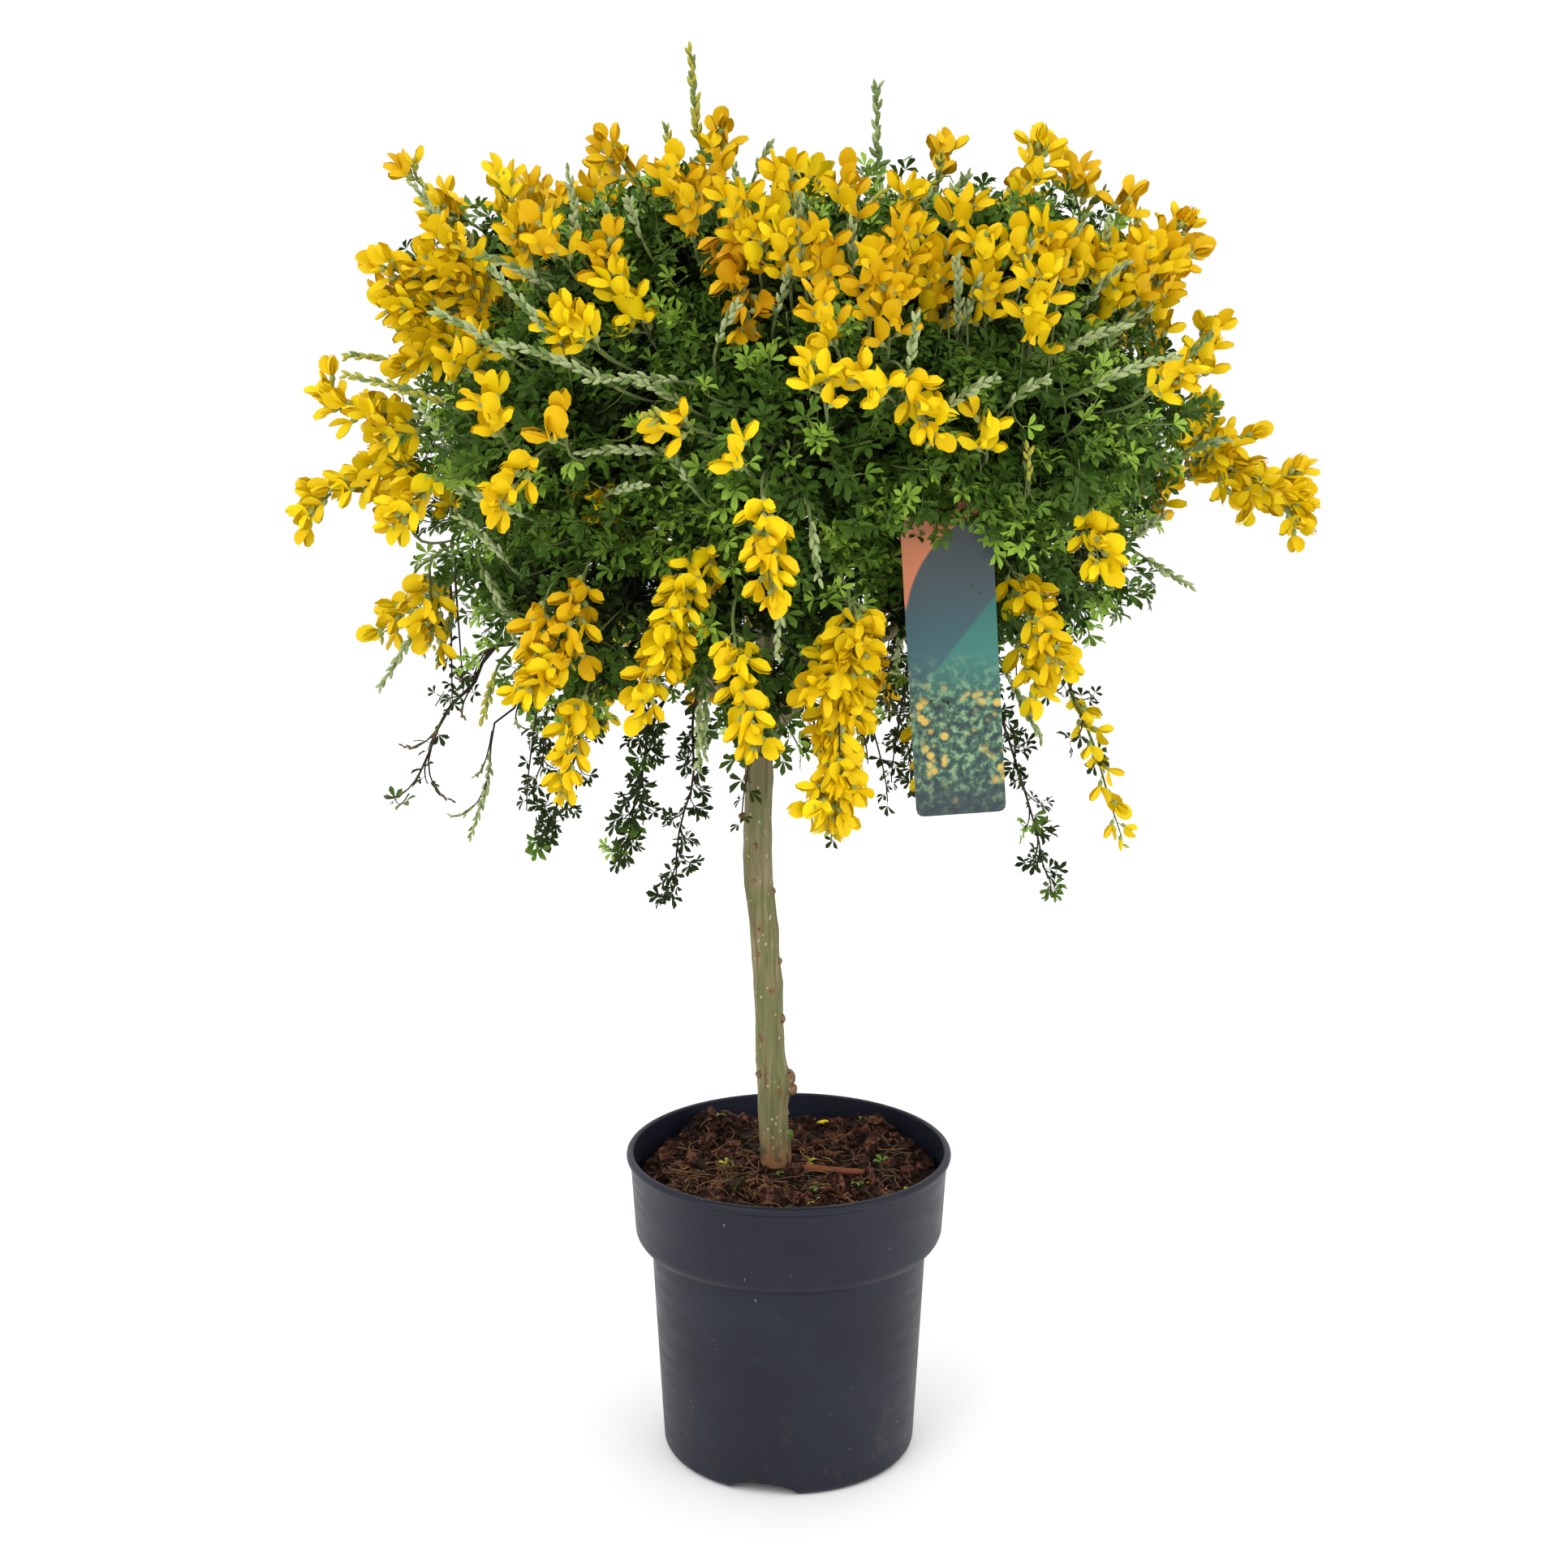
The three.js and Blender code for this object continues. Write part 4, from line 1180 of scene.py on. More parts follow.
        # The bough is taken as 120 mm long, and it swells within an eighth of that from the fork.
        gone = np.linspace(0, 1, rings)[:, None]
        swollen = 1 + 0.5 * np.exp(-((gone / 0.12) ** 2))
        extra = self.relief(turn, 0.12 * gone, radius) / radius
        corners[:-2] = (fine[:, None] + out * (swollen + extra)[..., None]).reshape(-1, 3)
        return corners, faces

    def build(self) -> Piece:
        """Join the trunk and its boughs into one barked piece."""
        surfaces = [self.trunk_surface()]
        fork = np.array([*surfaces[0][0][-1][:2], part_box("trunk")[1].z])
        surfaces += [self.bough_surface(name, fork) for name in self.boughs]
        return coat(joined_object("barked_stem_and_boughs", surfaces), YoungBark.material())


def resampled(line: Array, count: int) -> Array:
    """Return evenly spaced points on a smooth curve through some points."""
    for _ in range(4):
        cut = np.empty((2 * len(line) - 2, 3))
        cut[0::2] = 0.75 * line[:-1] + 0.25 * line[1:]
        cut[1::2] = 0.25 * line[:-1] + 0.75 * line[1:]
        line = np.concatenate([line[:1], cut, line[-1:]])
    gone = np.concatenate([[0], np.cumsum(np.linalg.norm(np.diff(line, axis=0), axis=1))])
    at = np.linspace(0, gone[-1], count)
    return np.stack([np.interp(at, gone, line[:, i]) for i in range(3)], axis=1)


# ---- crown


class Kind(Enum):
    """What a flowering shoot carries."""

    LEMON = (Tissue.PETAL_LEMON, Tissue.PETAL_YELLOW, 0.9)
    YELLOW = (Tissue.PETAL_YELLOW, Tissue.PETAL_LEMON, 0.88)
    GOLD = (Tissue.PETAL_GOLD, Tissue.PETAL_YELLOW, 0.88)
    AMBER = (Tissue.PETAL_OLD_AMBER, Tissue.PETAL_GOLD, 0.95)
    OPENING = (Tissue.PETAL_YELLOW, Tissue.PETAL_GOLD, 0.35)
    SILVER = (Tissue.BUD_SILVER_DOWN, Tissue.BUD_GREEN, 0.0)
    OLIVE = (Tissue.BUD_OLIVE, Tissue.BUD_GREEN, 0.0)
    GREEN = (Tissue.BUD_GREEN, Tissue.BUD_SILVER_DOWN, 0.0)
    DRY = (Tissue.DRY_BROWN_FLOWER, Tissue.TWIG_BROWN, 0.0)

    def __init__(self, main: Tissue, other: Tissue, open_to: float) -> None:
        """Take up the main finish, the one mixed in, and how much of the shoot has opened."""
        self.main, self.other, self.open_to = main, other, open_to


@dataclass(frozen=True)
class Shoot:
    """One flowering shoot in a place of its own on the head's front.

    Attributes:
        across: how far across its mass its foot is, in hundredths from the left.
        up: how far up the mass, in hundredths.
        lean: degrees up from the right-hand side.
        length_mm: its length.
        kind: what it carries.
        forward: how much it leans out of the head.
    """

    across: int
    up: int
    lean: float
    length_mm: float
    kind: Kind
    forward: float = 0.45


class Head:
    """The whole head's outline, as one surface that rays can be cast at."""

    def __init__(self) -> None:
        """Gather the masses from the frame."""
        ends = ("_tuft", "_spike", "_spray", "_arm", "_strand", "_fan")
        names = sorted(o.name for o in bpy.data.objects if o.type == "MESH" and o.name.endswith(ends))
        self.masses = {n: Solid(n) for n in names}
        self.tufts = [m for n, m in self.masses.items() if n.endswith("_tuft")]
        corners, faces = merged([(m.corners, m.faces) for m in self.tufts])
        self.surface = BVHTree.FromPolygons([Vector(c) for c in corners], [tuple(f) for f in faces])
        self.middle = self.masses["heart_tuft"].centre()

    def samples(self, rng: Rng, per_area: float, start: str = "") -> tuple[Array, Array]:
        """Return random places on the tufts whose names begin with start, and their outward directions."""
        pools = [mass.samples(rng, per_area) for mass in self.tufts if mass.name.startswith(start)]
        return np.concatenate([p for p, _ in pools]), np.concatenate([o for _, o in pools])

    def hit(self, place: Sequence[float], way: Sequence[float], reach: float = 9.0) -> Array | None:
        """Return where a ray from a place first meets the head."""
        found = self.surface.ray_cast(Vector(place), Vector(way), reach)[0]
        return None if found is None else np.array(found)

    def covered(self, place: Array, outward: Array, within: float) -> bool:
        """Tell whether a part of the head lies within a distance in front of a place on its surface."""
        return self.hit(place + 1.5 * MM * outward, outward, within) is not None

    def out_along(self, direction: Array) -> Array | None:
        """Return the head's outermost place in a direction from its middle."""
        return self.hit(self.middle + 0.5 * direction, -direction, 0.5)

    def over_label(self, place: Array, node: str = "care_label") -> Array:
        """Tell which places are so near the label that what grows there would hide its print."""
        low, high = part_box(node)
        beside = (place[..., 0] > low.x - 5 * MM) & (place[..., 0] < high.x + 5 * MM)
        before = (place[..., 1] < high.y + 9 * MM) & (place[..., 1] > low.y - 40 * MM)
        across = (place[..., 0] - low.x) / (high.x - low.x)
        return beside & before & (place[..., 2] < high.z - 68 * MM - 18 * MM * across.clip(0, 1))

    def front(self, mass: str, across: float, up: float) -> Array:
        """Return the place on the head's front that lies a share across and up a mass's box."""
        low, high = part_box(mass)
        x = low.x + across * (high.x - low.x)
        z = low.z + up * (high.z - low.z)
        hit = self.hit((x, -1, z), (0, 1, 0))
        return hit if hit is not None else np.array([x, 0.5 * (low.y + high.y), z])

    def depth(self, places: Array) -> Array:
        """Return how far each place lies inside the head, along the way out from its middle."""
        found = np.zeros(len(places))
        for i, (place, out) in enumerate(zip(places, unit(places - self.middle))):
            hit = self.hit(place + 0.3 * out, -out, 0.3)
            if hit is not None:
                found[i] = np.linalg.norm(hit - place)
        return found

    def hollows(self, rng: Rng, least: float) -> tuple[Array, Array]:
        """Find places that bridge the hollows, deeper than least, between neighbouring masses."""
        count = 2600
        rise = 1 - 1.45 * (np.arange(count) + 0.5) / count
        turn = GOLDEN_TURN * np.arange(count)
        level = np.sqrt(1 - rise**2)
        ways = np.stack([level * np.cos(turn), level * np.sin(turn), rise], axis=1)
        hits = [self.out_along(way) for way in ways]
        reach = np.array([0.0 if hit is None else np.linalg.norm(hit - self.middle) for hit in hits])
        close = ways @ ways.T > cos(radians(13))
        smooth = np.array([np.percentile(reach[row], 70) for row in close])
        some = (reach < smooth - least) & (rng.uniform(size=count) < 0.85)
        places = self.middle + ways[some] * (smooth[some] - rng.uniform(8, 26, some.sum()) * MM)[:, None]
        return places, ways[some]


def spiral(lines: Array, t: Array, start: Array) -> tuple[Array, Array, Array]:
    """Place things in a spiral round lines.

    Args:
        lines: a row of points for each line.
        t: how far along its line each thing sits, from 0 to 1, a row for each line.
        start: the first thing's turn on each line.

    Returns:
        Each thing's place, the line's direction there, and the direction away from the line.
    """
    steps = lines.shape[1]
    at = t.clip(0, 1) * (steps - 1)
    low = np.minimum(at.astype(int), steps - 2)
    rows = np.arange(len(lines))[:, None]
    part = (at - low)[..., None]
    place = lines[rows, low] * (1 - part) + lines[rows, low + 1] * part
    along = unit(lines[rows, low + 1] - lines[rows, low])
    turn = GOLDEN_TURN * np.arange(t.shape[1])[None, :] + start[:, None]
    x = unit(np.cross(along, UP + np.array([0.01, 0.02, 0])))
    radial = x * np.cos(turn)[..., None] + np.cross(along, x) * np.sin(turn)[..., None]
    return place, along, radial


def spiral_on(line: Array, t: Array, rng: Rng) -> list[Array]:
    """Place things in a spiral round one line, as spiral does, from a turn that falls by chance."""
    return [rows[0] for rows in spiral(line[None], t[None], rng.uniform(0, 6.28, 1))]


@dataclass
class Blossom:
    """The flowering shoots: racemes of open flowers, and spikes still in bud."""

    head: Head
    rng: Rng
    petal_forms: list[Form]
    cup_form: Form
    bud_form: Form
    room: Array
    flower_pitch: float = 2.8 * MM
    bud_pitch: float = 2.1 * MM
    hang_below: float = 0.535  # shoots lower than this hang down
    short_above: float = 0.67  # shoots higher than this are short
    taken: list[Array] = field(default_factory=list)
    petals: Heap = field(default_factory=lambda: Heap("blossom"))
    buds: Heap = field(default_factory=lambda: Heap("buds"))
    stalks: Heap = field(default_factory=lambda: Heap("flower_stalks"))

    def axis(self, start: Array, heading: Array, length: float, sag: float) -> Array:
        """Return points on a line that leaves in a heading and bends down by a share of its length."""
        t = np.linspace(0, 1, 16)[:, None]
        side = self.rng.normal(0, 0.06, 3)
        return start + heading * length * t + (side - sag * UP) * length * t**2

    def stalk(self, line: Array, thick_mm: float, finish: Tissue = Tissue.TWIG_YOUNG_GREEN) -> None:
        """Add the stalk under flowers or buds."""
        self.stalks.add_tubes(finish, line[None], thick_mm)

    def raceme(self, axis: Array, kind: Kind, flowers: int, size: float = 1.0) -> None:
        """Set flowers round an axis, full-blown at the foot and in bud at the tip.

        Args:
            axis: points along the raceme.
            kind: what its flowers are like.
            flowers: how many flowers and buds it carries.
            size: how large they are against full-grown ones.
        """
        rng, open_to = self.rng, kind.open_to
        t = (np.linspace(0.0, 1, flowers) + rng.normal(0, 0.012, flowers)).clip(0, 1)
        place, along, radial = spiral_on(axis, t, rng)
        outward = unit(place - self.head.middle)
        chance = rng.normal(0, 0.18, place.shape)
        heading = radial + 0.4 * outward + 0.95 * along + chance
        turns = frames(heading, along + 0.5 * UP + 0.5 * outward + chance)
        sizes = size * np.interp(t, [0, open_to, 1], [1.06, 0.94, 0.5]) * rng.uniform(0.88, 1.12, flowers)
        foot = place + turns[:, :, 1] * (4.2 * MM * sizes)[:, None]
        form = np.where(t < 0.75 * open_to, 0, np.where(t < open_to, 3, 4))
        form = np.where(form == 0, rng.choice(3, flowers, p=[0.45, 0.3, 0.25]), form)
        second = rng.uniform(size=flowers) < 0.25
        green = t > open_to + 0.08
        for finish, some in ((kind.main, ~second & ~green), (kind.other, second & ~green)):
            for number, petals in enumerate(self.petal_forms):
                pick = some & (form == number)
                self.petals.add_copies(finish, petals, turns[pick], sizes[pick], foot[pick])
        calyx = Tissue.CALYX_DOWNY_GREEN
        self.petals.add_copies(calyx, self.cup_form, turns[~green], sizes[~green], foot[~green])
        self.buds.add_copies(Tissue.BUD_OLIVE, self.bud_form, turns[green], 1.5 * sizes[green], place[green])
        self.stalk(axis[::2], 0.85)
        self.taken.append(axis[::2])

    def spike(self, axis: Array, kind: Kind, plump: float = 1.0) -> None:
        """Pack downy buds along an unopened spike, overlapping like an ear of wheat."""
        rng = self.rng
        length = np.linalg.norm(np.diff(axis, axis=0), axis=1).sum()
        count = max(6, int(length / self.bud_pitch))
        t = np.linspace(0.08, 1, count)
        place, along, radial = spiral_on(axis, t, rng)
        turns = frames(0.55 * radial + along + rng.normal(0, 0.08, place.shape), radial)
        sizes = plump * np.interp(t, [0, 0.4, 1], [0.75, 1.0, 0.75]) * rng.uniform(0.86, 1.14, count)
        main = rng.uniform(size=count) < 0.78
        for finish, some in ((kind.main, main), (kind.other, ~main)):
            self.buds.add_copies(finish, self.bud_form, turns[some], sizes[some], place[some])
        self.stalk(axis[::3], 0.7)
        self.taken.append(axis[::3])

    def grow(self, axis: Array, kind: Kind) -> None:
        """Grow a spike or a raceme, as its kind asks, inside the plant's own box."""
        low, high = self.room
        axis = np.clip(axis, low + np.array([9, 1, 9]) * MM, high - np.array([9, 1, 2]) * MM)
        length = np.linalg.norm(axis[-1] - axis[0])
        if kind.open_to == 0.0:
            self.spike(axis, kind)
        else:
            self.raceme(axis, kind, max(4, int(length / self.flower_pitch)))

    def place_shoot(self, mass: str, shoot: Shoot) -> None:
        """Grow one shoot of the list, with the twig that brings it out of the head."""
        foot = self.head.front(mass, shoot.across / 100, shoot.up / 100)
        outward = unit(foot - self.head.middle)
        lean = radians(shoot.lean)
        heading = unit(np.array([cos(lean), -shoot.forward, sin(lean)]))
        start = foot - 2 * MM * outward
        self.bring_out(start, heading)
        down = 0.12 if shoot.lean > 0 else 0.25
        self.grow(self.axis(start, heading, shoot.length_mm * MM, down), shoot.kind)

    def bring_out(self, start: Array, heading: Array) -> None:
        """Add the twig between a shoot's foot and the inside of the head."""
        inward = unit(self.head.middle - start)
        root = start + 34 * MM * inward - 8 * MM * heading
        line = arched(root, -12 * MM * inward, start, 12 * MM * heading, 7)
        self.stalk(line[::-1], 0.9)

    def scatter(
        self, count: int, apart: float, kinds: dict[Kind, float], behind: float = -1, above: float = 0
    ) -> None:
        """Grow shoots all round the head by chance.

        Args:
            count: how many at the most.
            apart: least distance between two shoots' feet.
            kinds: the kinds and how often each comes.
            behind: only places further back than this are used.
            above: only places higher than this are used.
        """
        feet = np.concatenate([line[:1] for line in self.taken]) if self.taken else np.empty((0, 3))
        places, outward = self.head.samples(self.rng, 9000)
        grown = 0
        for i in self.rng.permutation(len(places)):
            place, out = places[i], outward[i]
            crowded = len(feet) and np.min(np.sum((feet - place) ** 2, axis=1)) < apart**2
            if grown >= count:
                break
            if crowded or place[1] < behind or place[2] < above or out[2] < -0.75:
                continue
            if self.head.covered(place, out, 60 * MM):
                continue
            low, high = place[2] < self.hang_below, place[2] > self.short_above
            heading = unit(0.7 * out + (-0.75 if low else 0.8) * UP + self.rng.normal(0, 0.2, 3))
            kind = self.rng.choice(list(kinds), p=np.array(list(kinds.values())) / sum(kinds.values()))
            length = self.rng.uniform(20, 32) * MM if high else self.rng.uniform(26, 44) * MM
            start = place - (8 if high else 4) * MM * out
            axis = self.axis(start, heading, length, 0.15)
            if self.head.over_label(axis).any():
                continue
            self.bring_out(start, heading)
            self.grow(axis, kind)
            feet = np.concatenate([feet, place[None]])
            grown += 1
        LOG.info("%d shoots scattered", grown)


@dataclass
class Foliage:
    """The leafy twigs that fill the head out to the masses' outline.

    Attributes:
        boughs: where each bough of the stem ends, by name.
        headings: the direction each bough ends in.
        spacing: distance between neighbouring twig tips on the head's surface.
        inset: how far twigs stop short of the surface.
        per_twig: leaves on each twig.
        clear: how far leaves keep from flowers.
    """

    head: Head
    rng: Rng
    boughs: dict[str, Array]
    headings: dict[str, Array]
    leaf_forms: list[Form]
    room: Array
    spacing: float = 16 * MM
    inset: float = 6 * MM
    per_twig: int = 12
    clear: float = 9.5 * MM
    leader_above: float = 0.64  # tufts higher than this grow from the leader
    droop_below: float = 0.53  # twigs lower than this bend down
    skirt_below: float = 0.5  # undersides lower than this are fringed
    taken: Array = field(default_factory=lambda: np.empty((0, 3)))
    twigs: Heap = field(default_factory=lambda: Heap("twigs"))
    leaves: Heap = field(default_factory=lambda: Heap("leaves"))

    def tips(self, mass: Solid) -> tuple[Array, Array]:
        """Choose where a mass's twigs end: spread over the part of its surface that the air reaches."""
        spacing = self.spacing * OPEN_MASSES.get(mass.name, 1.0)
        places, outward = mass.samples(self.rng, 3.2 / spacing**2)
        kept: list[int] = []
        chosen = np.empty((0, 3))
        for i, (place, away) in enumerate(zip(places, outward)):
            if len(chosen) and np.min(np.sum((chosen - place) ** 2, axis=1)) < spacing**2:
                continue
            if self.head.covered(place, away, 30 * MM) and self.rng.uniform() > 0.12:
                continue
            kept.append(i)
            chosen = np.concatenate([chosen, place[None]])
        return places[kept], outward[kept]

    def limb_to(self, goal: Array) -> Array:
        """Grow the limb that carries a mass on from the nearest bough, and return its points."""
        high = goal[2] > self.leader_above

        def cost(name: str) -> float:
            fit = 0.6 if (name == "leader_bough") == high else 1.2
            return fit * np.linalg.norm(self.boughs[name] - goal)

        name = min(self.boughs, key=cost)
        start, heading = self.boughs[name], self.headings[name]
        reach = np.linalg.norm(goal - start)
        rise = unit(goal - start) * 0.5 + UP * 0.25
        line = arched(start, 0.4 * reach * heading, goal, 0.35 * reach * rise, 14)
        line[3:-3] += self.rng.normal(0, 3 * MM, 3)
        return line

    def grow_tuft(self, mass: Solid) -> None:
        """Fill one tuft: a limb, the shoots that part from it, and a twig to every tip."""
        limb = self.limb_to(mass.centre())
        self.twigs.add_tubes(Tissue.TWIG_BROWN, limb[None], 2.5, 0.48, 7)
        tips, outward = self.tips(mass)
        if len(tips):
            self.branch(limb, tips, outward)

    def branch(self, limb: Array, tips: Array, outward: Array) -> None:
        """Grow shoots from a limb, each serving the tips that are nearest to it."""
        shoots = max(2, len(tips) // 6)
        heads = tips[self.rng.choice(len(tips), shoots, replace=False)]
        owner = np.argmin(np.linalg.norm(tips[:, None] - heads[None], axis=2), axis=1)
        for number in range(shoots):
            mine = np.flatnonzero(owner == number)
            if not len(mine):
                continue
            target = tips[mine].mean(axis=0)
            away = unit(outward[mine].mean(axis=0))
            root = limb[self.rng.integers(4, 14)]
            end = target - away * 30 * MM
            span = np.linalg.norm(end - root)
            leave = unit(unit(limb[-1] - limb[0]) + 0.6 * unit(end - root)) * 0.35 * span
            shoot = arched(root, leave, end, unit(away + 0.3 * UP) * 0.3 * span, 10)
            self.twigs.add_tubes(Tissue.TWIG_YOUNG_GREEN, shoot[None], 1.25, 0.64, 5)
            self.grow_twigs(shoot, tips[mine], outward[mine])

    def grow_twigs(self, shoot: Array, tips: Array, outward: Array) -> None:
        """Grow a leafy twig from a shoot to each tip, bending out and a little up, or down when low."""
        count = len(tips)
        at = self.rng.integers(4, len(shoot), count)
        start = shoot[at]
        heading = unit(np.gradient(shoot, axis=0))[at]
        end = tips - outward * self.inset * self.rng.uniform(-0.8, 3.4, (count, 1))
        low, high = self.room
        end = np.clip(end, low + 5 * MM, high - 5 * MM)
        span = np.linalg.norm(end - start, axis=1, keepdims=True)
        sag = np.where(tips[:, 2:3] < self.droop_below, -0.6, 0.4) * UP
        arrive = unit(outward + sag + self.rng.normal(0, 0.25, (count, 3)))
        lines = arched(start, 0.3 * span * heading, end, 0.35 * span * arrive, 9)
        self.add_leafy(lines, 0.75, 0.3)

    def add_leafy(self, lines: Array, thick_mm: float, first: float) -> None:
        """Add young green twigs along lines, with leaves from a share of their length on."""
        self.twigs.add_tubes(Tissue.TWIG_YOUNG_GREEN, lines, thick_mm)
        self.dress(lines, self.per_twig, first)

    def fill_hollows(self) -> None:
        """Bridge the hollows between the tufts with twigs from deeper in."""
        places, outward = self.head.hollows(self.rng, 9 * MM)
        start = places - 52 * MM * outward - 10 * MM * UP
        leave = 18 * MM * unit(outward + UP)
        arrive = 16 * MM * unit(outward + 0.5 * UP + self.rng.normal(0, 0.3, places.shape))
        lines = arched(start, leave, places, arrive, 9)
        self.add_leafy(lines, 0.75, 0.35)

    def veil(self, node: str = "care_label", count: int = 76) -> None:
        """Let leafy twigs hang in front of the label's strap and head."""
        low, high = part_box(node)
        across = self.rng.normal(0.45, 0.42, count).clip(-0.5, 1.5)
        lowest = high.z - 56 * MM - 18 * MM * across.clip(0, 1)
        x = low.x + across * (high.x - low.x)
        y = low.y - self.rng.uniform(5, 20, count) * MM
        z = lowest + self.rng.uniform(0, 1, count) ** 1.2 * (high.z + 12 * MM - lowest)
        ends = np.stack([x, y, z], axis=1)
        start = ends + np.array([0, 46, 34]) * MM + self.rng.normal(0, 6 * MM, (count, 3))
        leave = 18 * MM * unit(np.array([[0, -1.0, 0.3]]) + self.rng.normal(0, 0.2, (count, 3)))
        arrive = 14 * MM * unit(np.array([[0, -0.5, -0.8]]) + self.rng.normal(0, 0.3, (count, 3)))
        lines = arched(start, leave, ends, arrive, 9)
        self.add_leafy(lines, 0.7, 0.35)

    def skirt(self, count: int = 30) -> None:
        """Hang short twigs of shade leaves from the undersides of the low tufts, all round the head."""
        places, outward = self.head.samples(self.rng, 5000, "low_")
        under = np.flatnonzero((outward[:, 2] < -0.45) & (places[:, 2] < self.skirt_below))
        chosen = self.rng.choice(under, count, replace=False)
        feet, away = places[chosen], outward[chosen] * np.array([1, 1, 0])
        length = self.rng.uniform(22, 58, (count, 1)) * MM
        ends = feet + length * unit(0.35 * away - UP + self.rng.normal(0, 0.12, feet.shape))
        lines = arched(feet + 24 * MM * UP, -10 * MM * UP, ends, -0.4 * length * UP, 9)
        self.twigs.add_tubes(Tissue.TWIG_DARK_BARE, lines, 0.7)
        self.dress(lines, 10, 0.3, 0.8, 0.8)

    def dress(self, lines: Array, per_line: int, first: float, dark: float = 0.0, size: float = 1.0) -> None:
        """Set leaves in a spiral along twigs.

        Args:
            lines: the twigs' points, a row of points each.
            per_line: leaves on each twig.
            first: how far along the twig the leaves begin.
            dark: share of twigs that are given shade leaves whatever their place.
            size: how large the leaves are against a full-grown one.
        """
        rng = self.rng
        count = len(lines)
        t = np.linspace(first, 1, per_line)[None, :] + rng.normal(0, 0.015, (count, per_line))
        place, along, radial = spiral(lines, t, rng.uniform(0, 6.28, count))
        outward = unit(place - self.head.middle)
        heading = unit(radial + 0.6 * along + 0.35 * outward + rng.normal(0, 0.22, place.shape))
        facing = unit(0.7 * outward + 0.75 * UP + rng.normal(0, 0.42, place.shape))
        ripe = np.linspace(1.0, 0.72, per_line)[None, :] * rng.uniform(0.74, 1.14, (count, per_line)) * size
        depth = self.head.depth(place.reshape(-1, 3)).reshape(count, per_line)
        tone = rng.uniform(size=(count, 1)) + 0.22 * rng.normal(size=(count, per_line))
        young = rng.uniform(size=(count, 1))
        last = per_line - 1 - np.arange(per_line)[None, :]
        tint = np.where(depth > 38 * MM, 0, np.where(tone > 0.62, 2, 1))
        fresh = (last < 5) & (young < 0.3) | (last < 9) & (young < 0.07)
        tint = np.where((depth < 26 * MM) & fresh, 3, tint)
        tint = np.where(rng.uniform(size=(count, 1)) < dark, 0, tint)
        kept = (rng.uniform(size=tint.shape) < 0.95) & ~self.near_taken(place) & ~self.head.over_label(place)
        form = rng.integers(0, len(self.leaf_forms), tint.shape)
        tints = (Tissue.LEAF_IN_SHADE, Tissue.LEAF_DEEP_GREEN, Tissue.LEAF_FULL_GREEN, Tissue.LEAF_FRESH_TIP)
        for number, finish in enumerate(tints):
            for kind, leaf in enumerate(self.leaf_forms):
                pick = (tint == number) & (form == kind) & kept
                turns = frames(heading[pick], facing[pick])
                self.leaves.add_copies(finish, leaf, turns, ripe[pick], place[pick])

    def near_taken(self, place: Array) -> Array:
        """Tell which places are so near a flowering shoot that a leaf would hide it."""
        flat = place.reshape(-1, 3).astype(np.float32)
        near = np.zeros(len(flat), bool)
        taken = self.taken.astype(np.float32)
        for start in range(0, len(flat), 2000):
            part = flat[start : start + 2000]
            gap = np.sum(part**2, 1)[:, None] + np.sum(taken**2, 1)[None] - 2 * part @ taken.T
            near[start : start + 2000] = gap.min(axis=1) < self.clear**2
        return near.reshape(place.shape[:-1])


class Habit(Enum):
    """What a spray or strand that leaves the head is like."""

    LEAFY = "dark small leaves on side twigs"
    FLOWERING = "flowers all along"
    LOOSE = "leaves first, then a few hanging flowers"
    SPIKED = "one bud spike"
    BARE = "bare dark twigs with dry spikes"
    BUDDED = "a bare stalk that ends in silver buds"


@dataclass(frozen=True)
class Spray:
    """One spray, arm or strand.

    Attributes:
        node: the node whose place it takes.
        habit: what it is like.
        kind: what its flowers or buds are like.
        flowers: how many flowers and buds it has.
        sides: how many side racemes it has.
        side_mm: how long those are.
    """

    node: str
    habit: Habit
    kind: Kind = Kind.YELLOW
    flowers: int = 0
    sides: int = 0
    side_mm: float = 28


